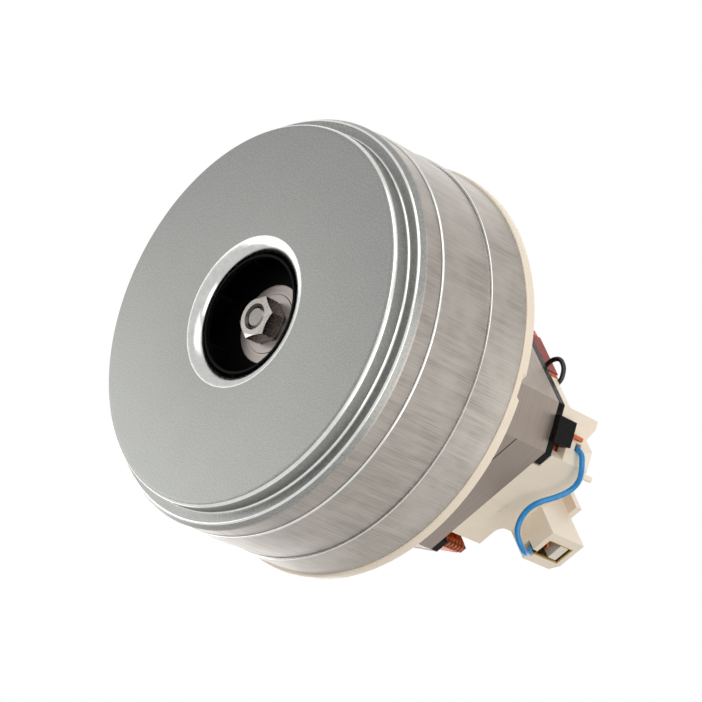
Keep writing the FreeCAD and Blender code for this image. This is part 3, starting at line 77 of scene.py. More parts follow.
def length(value, name, description):
    """A length that a user can change."""
    return bpy.props.FloatProperty(
        name=name, description=description, unit="LENGTH", subtype="DISTANCE", default=value * MM, min=0,
        precision=5)


class MotorColours(bpy.types.PropertyGroup):
    """Colours of the motor's finishes."""
    zinc: colour("#8B8C89", "Zinc", "Galvanised sheet of the fan shells")
    zinc_drawn: colour("#A8A29B", "Drawn zinc", "Outer shells after drawing")
    zinc_dark: colour("#8B857E", "Zinc in the streaks", "Darker drawing marks on the outer shells")
    # Painted highlight: the bends are lighter than the sheet for the light they catch.
    zinc_painted_highlight: colour("#D8D8D5", "Zinc with painted highlight", "Painted highlight on the bends")
    # Painted highlight: the lip is lighter than the face for the light it catches.
    zinc_lip_painted_highlight: colour("#C4C5C2", "Zinc of the lip", "Rolled lip of the eye")
    # Painted shade: the fans are near black for the dark inside of the housing.
    fan_shade_black: colour("#050505", "Fan metal", "Impellers inside the dark eye")
    plated: colour("#B9B3AD", "Plated steel", "Nut, screws and shaft end")
    washer: colour("#A19893", "Washer", "Clamp washers")
    thermoset: colour("#F0E2CD", "Thermoset", "Cream moulded carrier and bracket")
    lamination: colour("#968A80", "Lamination", "Punched edges of the field stack")
    frame_black: colour("#0C0A09", "Insulating frame", "Black moulded end frames")
    enamel: colour("#C4591F", "Enamelled wire", "Field and armature windings")
    copper: colour("#B87450", "Bare copper", "Commutator, braids and lead ends")
    tape: colour("#8A2314", "Tape", "Varnished tape on the coil")
    brass: colour("#B8923C", "Brass", "Brush holders")
    carbon: colour("#2B2B2C", "Carbon", "Brush blocks")
    cap: colour("#E8E1D3", "Cap", "Pale caps in the brush boxes")
    rubber: colour("#1C1B1A", "Rubber", "Bearing cup")
    blue: colour("#0F86C9", "Blue sleeve", "Jumper lead")
    black: colour("#131212", "Black sleeve", "Loop beside the tape")
    floor: colour("#F4F3F1", "Floor", "Pale floor")


class MotorSizes(bpy.types.PropertyGroup):
    """Sizes of what the frame doesn't hold."""
    wire: length(0.42, "Wire radius", "Radius of the field winding's wire")
    armature_wire: length(0.32, "Armature wire radius", "Radius of the armature winding's wire")
    lead: length(1.0, "Lead radius", "Radius of the blue lead's sleeve")
    loop: length(0.85, "Loop radius", "Radius of the black loop's sleeve")
    edge: length(0.25, "Moulded edge", "Rounding of moulded edges")
    floor_half: length(3000, "Floor half width", "Half the width of the floor")


# Nodes and materials

def add(tree, kind, inputs=None, **settings):
    """Adds a node. An input's value is a plain value, or a socket to link."""
    made = tree.nodes.new(kind)
    for name, value in settings.items():
        setattr(made, name, value)
    for name, value in (inputs or {}).items():
        if isinstance(value, bpy.types.NodeSocket):
            tree.links.new(value, made.inputs[name])
        else:
            made.inputs[name].default_value = value
    return made


def start_material(name, base, roughness, metallic=0.0):
    """A material with its shader, whose constants sit on the shader's own sockets."""
    material = bpy.data.materials.new(name)
    material.use_nodes = True
    tree = material.node_tree
    tree.nodes.clear()
    shader = add(tree, "ShaderNodeBsdfPrincipled", {
        "Base Color": (*base, 1), "Roughness": roughness, "Metallic": metallic})
    add(tree, "ShaderNodeOutputMaterial", {"Surface": shader.outputs["BSDF"]})
    return material, tree, shader


def millimetres(tree, stretch=(1, 1, 1)):
    """The piece's own coordinates in millimetres, stretched for patterns that run along an axis."""
    place = add(tree, "ShaderNodeTexCoord")
    scaled = add(tree, "ShaderNodeVectorMath", {
        0: place.outputs["Object"], 1: tuple(1000 / s for s in stretch)}, operation="MULTIPLY")
    return scaled.outputs[0]


def noise(tree, place, grain, detail=3.0, rough=0.55):
    """Noise whose lumps are about grain millimetres across."""
    return add(tree, "ShaderNodeTexNoise", {
        "Vector": place, "Scale": 1 / grain, "Detail": detail, "Roughness": rough}).outputs["Fac"]


def between(tree, factor, low, high, start=0.3, end=0.7):
    """A colour or number that goes from low to high as the factor goes from start to end."""
    if isinstance(low, tuple):
        ramp = add(tree, "ShaderNodeValToRGB", {"Fac": factor})
        ramp.color_ramp.elements[0].position = start
        ramp.color_ramp.elements[1].position = end
        ramp.color_ramp.elements[0].color = (*low, 1)
        ramp.color_ramp.elements[1].color = (*high, 1)
        return ramp.outputs["Color"]
    return add(tree, "ShaderNodeMapRange", {
        "Value": factor, "From Min": start, "From Max": end, "To Min": low, "To Max": high}).outputs["Result"]


def blended(tree, factor, first, second, how="MIX"):
    """Two colours mixed by a factor."""
    return add(tree, "ShaderNodeMix", {0: factor, 6: first, 7: second},
               data_type="RGBA", blend_type=how).outputs[2]


def link(tree, socket, shader, name):
    """Links a socket to one of the shader's inputs."""
    tree.links.new(socket, shader.inputs[name])


def relief(tree, shader, height, depth, under=None):
    """A bump of a real depth in millimetres on the shader."""
    inputs = {"Height": height, "Distance": depth * MM, "Strength": 1.0}
    if under is not None:
        inputs["Normal"] = under
    bump = add(tree, "ShaderNodeBump", inputs)
    link(tree, bump.outputs["Normal"], shader, "Normal")
    return bump.outputs["Normal"]


def tinted(base, share):
    """The colour made lighter or darker by a share."""
    return tuple(min(1.0, c * share) for c in base)


def galvanised_sheet(look):
    """Electro-galvanised deep-drawing sheet: dull zinc with a fine, even grain and faint clouds."""
    base = tuple(look.zinc)
    material, tree, shader = start_material("galvanised_sheet", base, 0.42, 0.9)
    place = millimetres(tree)
    # The real grain is some 0.2 mm; 0.42 mm is the finest that the render shows.
    grain = noise(tree, place, 0.55, 2.0, 0.7)
    clouds = noise(tree, place, 11.0, 3.0)
    colour_grain = between(tree, grain, tinted(base, 0.70), tinted(base, 1.32), 0.32, 0.68)
    colour_clouds = between(tree, clouds, tinted(base, 0.94), tinted(base, 1.05))
    link(tree, blended(tree, 0.3, colour_grain, colour_clouds), shader, "Base Color")
    link(tree, between(tree, grain, 0.38, 0.50), shader, "Roughness")
    relief(tree, shader, grain, 0.006)
    return material


def painted_highlight_sheet(name, base):
    """Brighter sheet for the bends and the lip: a painted highlight for the light these curves catch, with a
    lower roughness.
    """
    base = tuple(base)
    material, tree, shader = start_material(name, base, 0.22, 1.0)
    highlight_mottle = noise(tree, millimetres(tree), 2.2, 4.0)
    link(tree, between(tree, highlight_mottle, tinted(base, 0.93), tinted(base, 1.05)), shader, "Base Color")
    link(tree, between(tree, highlight_mottle, 0.19, 0.25), shader, "Roughness")
    return material


def drawn_sheet(look, name, share):
    """The same sheet after drawing through a ring: fine streaks along the shaft and worn blotches."""
    base = tinted(look.zinc_drawn, share)
    dark = tinted(look.zinc_dark, share)
    material, tree, shader = start_material(name, base, 0.42, 0.9)
    # Streaks 0.3 mm wide and some 15 mm long; the real ones are finer, and these are coarse enough to show.
    streak = noise(tree, millimetres(tree, (1, 1, 60)), 0.3, 2.0, 0.7)
    broad = noise(tree, millimetres(tree, (1, 1, 9)), 2.6, 3.0)
    blotch = noise(tree, millimetres(tree), 13.0, 4.0)
    lines = between(tree, streak, tinted(dark, 0.96), tinted(base, 1.08), 0.32, 0.66)
    worn = between(tree, broad, dark, tinted(base, 1.04), 0.3, 0.66)
    first = blended(tree, 0.38, lines, worn)
    link(tree, blended(tree, between(tree, blotch, 0.0, 0.6, 0.42, 0.66), first, (*tinted(base, 1.10), 1)),
         shader, "Base Color")
    link(tree, between(tree, broad, 0.36, 0.5), shader, "Roughness")
    return material


def fan_metal(look):
    """Aluminium fans, near black all over: painted shade for the dark inside of the housing, with a faint grain.
    """
    base = tuple(look.fan_shade_black)
    material, tree, shader = start_material("fan_black_painted_shade", base, 0.55)
    grain = noise(tree, millimetres(tree), 1.2)
    link(tree, between(tree, grain, tinted(base, 0.5), tinted(base, 1.3)), shader, "Base Color")
    # A low specular level keeps the painted shade dark.
    shader.inputs["Specular IOR Level"].default_value = 0.05
    return material


def plated_steel(look, name="zinc_plated_steel", share=1.0):
    """Zinc-plated turned steel: bright facets with faint tool marks."""
    base = tinted(look.plated, share)
    material, tree, shader = start_material(name, base, 0.22, 1.0)
    marks = noise(tree, millimetres(tree), 0.7, 4.0)
    link(tree, between(tree, marks, tinted(base, 0.82), tinted(base, 1.08)), shader, "Base Color")
    link(tree, between(tree, marks, 0.16, 0.32), shader, "Roughness")
    relief(tree, shader, marks, 0.01)
    return material


def turned_washer(look):
    """Blanked and tumbled steel washer: satin, with faint rings."""
    base = tuple(look.washer)
    material, tree, shader = start_material("tumbled_steel", base, 0.38, 0.9)
    rings = rings_round_shaft(tree, 0.4)
    link(tree, between(tree, rings, tinted(base, 0.88), tinted(base, 1.08)), shader, "Base Color")
    relief(tree, shader, rings, 0.008)
    return material


def rings_round_shaft(tree, pitch):
    """Noise that changes with the distance from the shaft and along it, as turning marks do."""
    place = millimetres(tree)
    split = add(tree, "ShaderNodeSeparateXYZ", {"Vector": place})
    flat = add(tree, "ShaderNodeCombineXYZ", {"X": split.outputs["X"], "Y": split.outputs["Y"]})
    radius = add(tree, "ShaderNodeVectorMath", {0: flat.outputs["Vector"]}, operation="LENGTH")
    joined = add(tree, "ShaderNodeCombineXYZ", {"X": radius.outputs["Value"], "Y": split.outputs["Z"]})
    return noise(tree, joined.outputs["Vector"], pitch, 2.0)


def cream_thermoset(look):
    """Compression-moulded polyester with short glass fibre: cream, half matt, faint flow marks."""
    base = tuple(look.thermoset)
    material, tree, shader = start_material("moulded_polyester", base, 0.42)
    place = millimetres(tree)
    flow = noise(tree, millimetres(tree, (1, 1, 2.5)), 7.0, 4.0)
    speck = noise(tree, place, 0.8, 2.0)
    tone = between(tree, flow, tinted(base, 0.93), tinted(base, 1.02))
    dots = between(tree, speck, tinted(base, 0.92), tinted(base, 1.03), 0.25, 0.5)
    link(tree, blended(tree, 0.4, tone, dots), shader, "Base Color")
    link(tree, between(tree, flow, 0.34, 0.52), shader, "Roughness")
    relief(tree, shader, speck, 0.02)
    shader.inputs["Subsurface Weight"].default_value = 0.06
    shader.inputs["Subsurface Radius"].default_value = (1.2 * MM, 0.9 * MM, 0.6 * MM)
    shader.inputs["Subsurface Scale"].default_value = 1.0
    return material


def lamination_stack(look):
    """Punched electrical sheet, 0.5 mm thick, stacked along the shaft: fine lines at the punched edges."""
    base = tuple(look.lamination)
    material, tree, shader = start_material("stacked_lamination", base, 0.42, 0.8)
    place = millimetres(tree)
    # One line per sheet would be 0.5 mm; 0.66 mm lets a line show at the render's size.
    split = add(tree, "ShaderNodeSeparateXYZ", {"Vector": place})
    sheets = add(tree, "ShaderNodeCombineXYZ", {"Z": split.outputs["Z"]})
    line = add(tree, "ShaderNodeTexWave", {
        "Vector": sheets.outputs["Vector"], "Scale": 0.15 / 0.66 * 2.1, "Distortion": 0.0},
        wave_type="BANDS", bands_direction="Z").outputs["Fac"]
    each = noise(tree, sheets.outputs["Vector"], 0.7, 1.0)
    smear = noise(tree, millimetres(tree, (9, 9, 1)), 1.0, 3.0)
    tone = between(tree, each, tinted(base, 0.80), tinted(base, 1.14), 0.3, 0.7)
    worn = between(tree, smear, tinted(base, 0.86), tinted(base, 1.10))
    mixed = blended(tree, 0.5, tone, worn)
    link(tree, blended(tree, between(tree, line, 0.22, 0.0, 0.0, 0.35), mixed, (*tinted(base, 0.45), 1)),
         shader, "Base Color")
    link(tree, between(tree, smear, 0.34, 0.52), shader, "Roughness")
    relief(tree, shader, line, 0.03)
    return material


def frame_nylon(look):
    """Black glass-filled nylon: moulded, faint grain, soft gloss."""
    base = tuple(look.frame_black)
    material, tree, shader = start_material("glass_filled_nylon", base, 0.32)
    grain = noise(tree, millimetres(tree), 0.9)
    link(tree, between(tree, grain, tinted(base, 0.7), tinted(base, 1.5)), shader, "Base Color")
    link(tree, between(tree, grain, 0.24, 0.42), shader, "Roughness")
    relief(tree, shader, grain, 0.02)
    shader.inputs["Specular IOR Level"].default_value = 0.08
    return material


def enamelled_wire(look):
    """Enamelled copper wire: red-brown varnish over bright metal, darker where it pools between turns."""
    base = tuple(look.enamel)
    material, tree, shader = start_material("enamelled_copper_wire", base, 0.26, 0.55)
    pools = noise(tree, millimetres(tree), 2.4, 3.0)
    link(tree, between(tree, pools, tinted(base, 0.62), tinted(base, 1.3), 0.28, 0.72), shader, "Base Color")
    shader.inputs["Coat Weight"].default_value = 0.3
    shader.inputs["Coat Roughness"].default_value = 0.12
    return material


def coil_core(look):
    """The dark gap between the outer turns of a coil: varnish and painted shadow over copper."""
    base = tinted(look.enamel, 0.22)
    material, tree, shader = start_material("coil_core_varnish_and_painted_shade", base, 0.5)
    pools = noise(tree, millimetres(tree), 1.6, 3.0)
    link(tree, between(tree, pools, tinted(base, 0.5), tinted(base, 1.5)), shader, "Base Color")
    shader.inputs["Specular IOR Level"].default_value = 0.2
    return material


def bare_copper(look):
    """Turned copper bars: bright, with rings from the skimming cut."""
    base = tuple(look.copper)
    material, tree, shader = start_material("turned_copper", base, 0.28, 1.0)
    rings = rings_round_shaft(tree, 0.35)
    link(tree, between(tree, rings, tinted(base, 0.75), tinted(base, 1.1)), shader, "Base Color")
    relief(tree, shader, rings, 0.01)
    return material


def varnished_tape(look):
    """Cotton tape soaked in red varnish: ribbed weave under an uneven gloss."""
    base = tuple(look.tape)
    material, tree, shader = start_material("varnished_cotton_tape", base, 0.4)
    weave = add(tree, "ShaderNodeTexWave", {
        "Vector": millimetres(tree), "Scale": 0.32 / 0.9, "Distortion": 1.2, "Detail": 2.0},
        wave_type="BANDS", bands_direction="DIAGONAL").outputs["Fac"]
    soak = noise(tree, millimetres(tree), 2.6)
    link(tree, between(tree, soak, tinted(base, 0.6), tinted(base, 1.3)), shader, "Base Color")
    relief(tree, shader, weave, 0.06)
    shader.inputs["Specular IOR Level"].default_value = 0.1
    return material


def rolled_brass(look, name="rolled_brass", share=1.0):
    """Rolled brass strip, folded: warm yellow, slightly tarnished."""
    base = tinted(look.brass, share)
    material, tree, shader = start_material(name, base, 0.25, 1.0)
    stain = noise(tree, millimetres(tree, (4, 1, 1)), 1.8, 4.0)
    link(tree, between(tree, stain, tinted(base, 0.55), tinted(base, 1.1)), shader, "Base Color")
    link(tree, between(tree, stain, 0.34, 0.18), shader, "Roughness")
    return material


def pressed_carbon(look):
    """Pressed electrographite: dark grey, dry, fine pores."""
    base = tuple(look.carbon)
    material, tree, shader = start_material("electrographite", base, 0.62, 0.15)
    pores = noise(tree, millimetres(tree), 0.5, 2.0)
    link(tree, between(tree, pores, tinted(base, 0.6), tinted(base, 1.3)), shader, "Base Color")
    relief(tree, shader, pores, 0.02)
    return material


def cap_plastic(look):
    """Pale moulded cap of unfilled nylon: smooth, with a faint blush at its gate."""
    base = tuple(look.cap)
    material, tree, shader = start_material("natural_nylon", base, 0.35)
    blush = noise(tree, millimetres(tree), 3.0)
    link(tree, between(tree, blush, tinted(base, 0.9), tinted(base, 1.03)), shader, "Base Color")
    return material


def cup_rubber(look):
    """Moulded nitrile rubber: black, matt, dusty in its hollows."""
    base = tuple(look.rubber)
    material, tree, shader = start_material("nitrile_rubber", base, 0.72)
    dust = noise(tree, millimetres(tree), 2.0, 3.0)
    link(tree, between(tree, dust, tinted(base, 0.7), tinted(base, 1.6)), shader, "Base Color")
    relief(tree, shader, dust, 0.03)
    return material


def sleeve(look, name, base, roughness):
    """Extruded silicone sleeve of a lead: smooth and glossy, with faint scuffs."""
    base = tuple(base)
    material, tree, shader = start_material(name, base, roughness)
    scuff = noise(tree, millimetres(tree), 1.6, 3.0)
    link(tree, between(tree, scuff, tinted(base, 0.93), tinted(base, 1.05)), shader, "Base Color")
    link(tree, between(tree, scuff, roughness - 0.05, roughness + 0.06), shader, "Roughness")
    return material


# Shapes

def put(name, mesh, body, material, stands_for=()):
    """Links a mesh as a piece of a body, in a finish, in place of CAD nodes."""
    piece = bpy.data.objects.new(name, mesh)
    bpy.context.scene.collection.objects.link(piece)
    piece.data.materials.append(material)
    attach(piece, body)
    if stands_for:
        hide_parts(*stands_for)
    return piece


def smooth(mesh, angle=32):
    """Smooth shading, with edges sharper than the angle kept crisp."""
    mesh.polygons.foreach_set("use_smooth", [True] * len(mesh.polygons))
    mesh.set_sharp_from_angle(angle=math.radians(angle))


def arc(centre, radius, start, end, steps=10):
    """Points of an arc in a profile, angles in degrees from +radius towards +Z."""
    return [(centre[0] + radius * math.cos(math.radians(start + (end - start) * i / steps)),
             centre[1] + radius * math.sin(math.radians(start + (end - start) * i / steps)))
            for i in range(steps + 1)]


def turned(name, profile, segments=192, angle=32):
    """A closed profile of (radius, z) points turned round the shaft."""
    build = bmesh.new()
    rings = []
    for step in range(segments):
        turn = 2 * math.pi * step / segments
        rings.append([build.verts.new((r * math.cos(turn) * MM, r * math.sin(turn) * MM, z * MM))
                      for r, z in profile])
    count = len(profile)
    for step in range(segments):
        here = rings[step]
        ahead = rings[(step + 1) % segments]
        for index in range(count):
            after = (index + 1) % count
            if profile[index][0] < 1e-6 and profile[after][0] < 1e-6:
                continue
            build.faces.new((here[index], ahead[index], ahead[after], here[after]))
    bmesh.ops.remove_doubles(build, verts=build.verts, dist=1e-7)
    bmesh.ops.recalc_face_normals(build, faces=build.faces)
    mesh = bpy.data.meshes.new(name)
    build.to_mesh(mesh)
    build.free()
    smooth(mesh, angle)
    return mesh


def wire_piece(name, routes, radius, closed=False, sides=2, smooth_routes=True):
    """Round wires along routes of points in millimetres, as one mesh."""
    curve = bpy.data.curves.new(name, "CURVE")
    curve.dimensions = "3D"
    curve.bevel_depth = radius * MM
    curve.bevel_resolution = sides
    curve.resolution_u = 5
    curve.use_fill_caps = not closed
    for route in routes:
        spline = curve.splines.new("NURBS" if smooth_routes else "POLY")
        spline.points.add(len(route) - 1)
        for point, place in zip(spline.points, route):
            point.co = (place[0] * MM, place[1] * MM, place[2] * MM, 1)
        if smooth_routes:
            spline.order_u = 3
            spline.use_endpoint_u = not closed
        spline.use_cyclic_u = closed
    holder = bpy.data.objects.new(name + "_curve", curve)
    bpy.context.scene.collection.objects.link(holder)
    mesh = bpy.data.meshes.new_from_object(holder.evaluated_get(bpy.context.evaluated_depsgraph_get()))
    bpy.data.objects.remove(holder)
    bpy.data.curves.remove(curve)
    mesh.name = name
    mesh.materials.clear()
    smooth(mesh, 60)
    return mesh


def part_finish(piece, material, bands):
    """Gives a piece's faces in bands of radius and height (millimetres) a finish of their own."""
    piece.data.materials.append(material)
    place = len(piece.data.materials) - 1
    for face in piece.data.polygons:
        radius = math.hypot(face.center.x, face.center.y) / MM
        height = face.center.z / MM
        if any(a <= radius <= b and c <= height <= d for a, b, c, d in bands):
            face.material_index = place


def finish_node(node, material):
    """Gives a CAD node its finish."""
    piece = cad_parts[node]
    for place in piece.material_slots:
        place.material = material
    if not piece.material_slots:
        piece.data.materials.append(material)
    return piece


def ease_edges(node, width=None, segments=2, angle=35):
    """Rounds a CAD node's edges for the eye, with modifiers only."""
    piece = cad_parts[node]
    weld = piece.modifiers.new("joined_corners", "WELD")
    weld.merge_threshold = 2e-6
    bevel = piece.modifiers.new("rounded_edges", "BEVEL")
    bevel.width = width * MM if width else bpy.context.scene.motor_sizes.edge
    bevel.segments = segments
    bevel.limit_method = "ANGLE"
    bevel.angle_limit = math.radians(angle)
    bevel.harden_normals = False
    return piece


class MotorStage(bpy.types.Operator):
    """Makes the camera, the pale floor, the lamps and the white surroundings"""
    bl_idname = "motor.stage"
    bl_label = "Stage"

    def execute(self, context):
        scene = context.scene
        look = scene.motor_colours
        scene.view_settings.view_transform = "Standard"
        camera_data = bpy.data.cameras.new("photo_camera")
        camera_data.sensor_width = 36
        camera_data.lens = 2200 / 702 * 36
        camera_data.clip_start = 0.01
        camera_data.clip_end = 50
        camera = bpy.data.objects.new("photo_camera", camera_data)
        scene.collection.objects.link(camera)
        right = Vector((0.28370, -0.67916, 0.67695))
        up = Vector((-0.70977, -0.62341, -0.32800))
        back = Vector((0.64478, -0.38742, -0.65891))
        place = Vector((0.47271, -0.28814, -0.43611))
        turn = Matrix((right, up, back)).transposed()
        camera.matrix_world = Matrix.Translation(place) @ turn.to_4x4()
        scene.camera = camera

        half = scene.motor_sizes.floor_half
        mesh = bpy.data.meshes.new("floor")
        low = -0.0004
        mesh.from_pydata([(-half, -half, low), (half, -half, low), (half, half, low), (-half, half, low)], [],
                         [(0, 1, 2, 3)])
        floor = bpy.data.objects.new("floor", mesh)
        scene.collection.objects.link(floor)
        floor.data.materials.append(self.floor_material(tuple(look.floor)))
        self.surroundings(scene)
        centre = Vector((0, 0, 0.07))
        # Lamps are placed in the photograph's own right, up and back directions, then two more from above.
        for name, side, high, near, size, power, tone in (
                ("right_softbox", 0.5, -0.1, 0.9, 0.9, 4.8, (1, 0.985, 0.965)),
                ("top_softbox", 0.05, 0.82, 0.57, 0.8, 2.6, (1, 1, 1)),
                ("low_left_softbox", -0.98, 0.05, -0.22, 0.7, 3.2, (1, 1, 1))):
            self.lamp(scene, name, centre + right * side + up * high + back * near, centre, size, power, tone)
        for name, where, size, power in (
                ("overhead_softbox", Vector((0.1, -0.1, 1.3)), 0.9, 4.0),
                ("left_rear_softbox", Vector((-0.78, -0.16, 0.85)), 1.0, 2.2),
                ("rear_softbox", Vector((-0.40, 0.90, 0.80)), 0.9, 3.4)):
            self.lamp(scene, name, where, centre, size, power, (1, 1, 1))
        return {"FINISHED"}

    def lamp(self, scene, name, where, target, size, power, tone):
        data = bpy.data.lights.new(name, "AREA")
        data.shape = "SQUARE"
        data.size = size
        data.energy = power
        data.color = tone
        lamp = bpy.data.objects.new(name, data)
        scene.collection.objects.link(lamp)
        lamp.location = where
        lamp.rotation_mode = "QUATERNION"
        lamp.rotation_quaternion = (target - where).to_track_quat("-Z", "Y")
        lamp.visible_camera = False

    def floor_material(self, base):
        """Matt pale board, seen from above only, that fades into the white round the object."""
        material = bpy.data.materials.new("pale_board")
        material.use_nodes = True
        tree = material.node_tree
        tree.nodes.clear()
        board = add(tree, "ShaderNodeBsdfDiffuse", {"Color": (*base, 1)})
        clear = add(tree, "ShaderNodeBsdfTransparent")
        path = add(tree, "ShaderNodeLightPath")
        face = add(tree, "ShaderNodeNewGeometry")
        front = add(tree, "ShaderNodeMath", {0: 1.0, 1: face.outputs["Backfacing"]}, operation="SUBTRACT")
        seen = add(tree, "ShaderNodeMath", {0: path.outputs["Is Camera Ray"], 1: front.outputs[0]},
                   operation="MULTIPLY")
        place = add(tree, "ShaderNodeTexCoord")
        reach = add(tree, "ShaderNodeVectorMath", {0: place.outputs["Object"]}, operation="LENGTH")
        fade = add(tree, "ShaderNodeMapRange", {
            "Value": reach.outputs["Value"], "From Min": 0.22, "From Max": 0.55, "To Min": 1.0, "To Max": 0.0},
            interpolation_type="SMOOTHSTEP")
        shown = add(tree, "ShaderNodeMath", {0: seen.outputs[0], 1: fade.outputs["Result"]},
                    operation="MULTIPLY")
        mixed = add(tree, "ShaderNodeMixShader", {0: shown.outputs[0], 1: clear.outputs[0],
                                                  2: board.outputs[0]})
        add(tree, "ShaderNodeOutputMaterial", {"Surface": mixed.outputs[0]})
        return material

    def surroundings(self, scene):
        """White where the camera, metal and glass look, and a plain soft level for light."""
        world = bpy.data.worlds.new("white_surroundings")
        scene.world = world
        world.use_nodes = True
        tree = world.node_tree
        tree.nodes.clear()
        path = add(tree, "ShaderNodeLightPath")
        shiny = add(tree, "ShaderNodeMath", {0: path.outputs["Is Glossy Ray"],
                                             1: path.outputs["Is Transmission Ray"]}, operation="MAXIMUM")
        white = add(tree, "ShaderNodeMath", {0: path.outputs["Is Camera Ray"], 1: shiny.outputs[0]},
                    operation="MAXIMUM")
        strength = add(tree, "ShaderNodeMapRange", {"Value": white.outputs[0], "To Min": 0.45, "To Max": 1.0})
        light = add(tree, "ShaderNodeBackground", {"Color": (1, 1, 1, 1),
                                                   "Strength": strength.outputs["Result"]})
        add(tree, "ShaderNodeOutputWorld", {"Surface": light.outputs[0]})


class MotorFanShells(bpy.types.Operator):
    """Turns the three fan shells"""
    bl_idname = "motor.fan_shells"
    bl_label = "Fan shells"

    def execute(self, context):
        look = context.scene.motor_colours
        sheet = galvanised_sheet(look)
        first = drawn_sheet(look, "drawn_sheet_first_shell", 0.96)
        second = drawn_sheet(look, "drawn_sheet_second_shell", 1.0)
        third = drawn_sheet(look, "drawn_sheet_third_shell", 1.08)
        bright = painted_highlight_sheet("painted_highlight_bends", look.zinc_painted_highlight)
        # The lip's lighter zinc is a painted highlight.
        lip = painted_highlight_sheet("rolled_lip_painted_highlight", look.zinc_lip_painted_highlight)
        inlet = (
            arc((63.2, 1.9), 1.9, -90, 0, 10)
            + arc((66.1, 5.4), 1.0, 180, 90, 8)
            + arc((68.15, 7.55), 1.15, -90, -22, 8)
            + [(70.05, 8.8)] + arc((69.3, 9.4), 1.0, -14, 0, 3)
            + [(70.3, 15.5), (70.2, 15.6), (69.6, 15.6), (69.5, 15.5)]
            + [(69.5, 9.7), (68.1, 7.25)]
            + arc((66.05, 5.45), 1.75, 90, 180, 6)
            + [(64.3, 2.2), (63.1, 0.85)]
            + [(26.2, 0.8)] + arc((26.1, 4.5), 3.7, -90, -180, 14)
            + arc((21.8, 4.6), 0.38, 0, 180, 4)
            + arc((25.9, 4.5), 4.5, 180, 270, 18))
        piece = put("inlet_shell_turned", turned("inlet_shell", inlet, 256), "motor", sheet,
                    ("inlet_shell",))
        # Painted highlights on the bend of the face, both corners of the ledge and the rear edge, then the lip's
        # painted highlight and the plain band.
        part_finish(piece, bright, (
            (64.3, 65.0, 0.4, 1.3), (64.8, 65.6, 5.6, 6.2), (68.5, 69.1, 6.4, 7.0), (69.9, 70.4, 15.45, 15.6)))
        part_finish(piece, lip, ((21.0, 25.8, -0.1, 5.2),))
        part_finish(piece, first, ((70.0, 70.5, 8.9, 15.45),))
        middle = (
            [(69.45, 10.6), (69.45, 15.62)] + arc((70.3, 16.35), 0.7, -90, 0, 6)
            + [(71.0, 44.0), (70.2, 44.0), (70.2, 16.4), (68.65, 16.4), (68.65, 10.6)])
        piece = put("middle_shell_turned", turned("middle_shell", middle, 256), "motor", second,
                    ("middle_shell",))
        # Painted highlight on the bead.
        part_finish(piece, bright, ((70.5, 71.01, 15.7, 16.2),))
        rear = [(71.05, 38.05), (71.12, 38.0), (71.7, 38.0), (71.82, 38.1), (71.85, 38.25), (71.85, 53.1),
                (72.25, 54.0), (72.25, 54.4), (71.45, 54.4), (71.45, 54.0), (71.05, 53.2)]
        piece = put("rear_shell_turned", turned("rear_shell", rear, 256), "motor", third,
                    ("rear_shell",))
        # Painted highlight on the front edge.
        part_finish(piece, bright, ((71.1, 71.9, 37.9, 38.3),))
        finish_node("interstage_plate", sheet)
        return {"FINISHED"}


class MotorCarrier(bpy.types.Operator):
    """Finishes the moulded carrier, the bracket and the bearing cup"""
    bl_idname = "motor.mouldings"
    bl_label = "Mouldings"

    def execute(self, context):
        look = context.scene.motor_colours
        cream = cream_thermoset(look)
        finish_node("carrier_plate", cream)
        ease_edges("carrier_plate", 0.2)
        finish_node("rear_bracket", cream)
        ease_edges("rear_bracket", 0.3)
        rubber = cup_rubber(look)
        finish_node("bearing_cup", rubber)
        return {"FINISHED"}


class MotorFan(bpy.types.Operator):
    """Finishes the fan stages"""
    bl_idname = "motor.fan"
    bl_label = "Fan stages"

    def execute(self, context):
        metal = fan_metal(context.scene.motor_colours)
        for node in ("front_impeller", "rear_impeller", "front_return_guide", "rear_return_guide"):
            finish_node(node, metal)
        return {"FINISHED"}


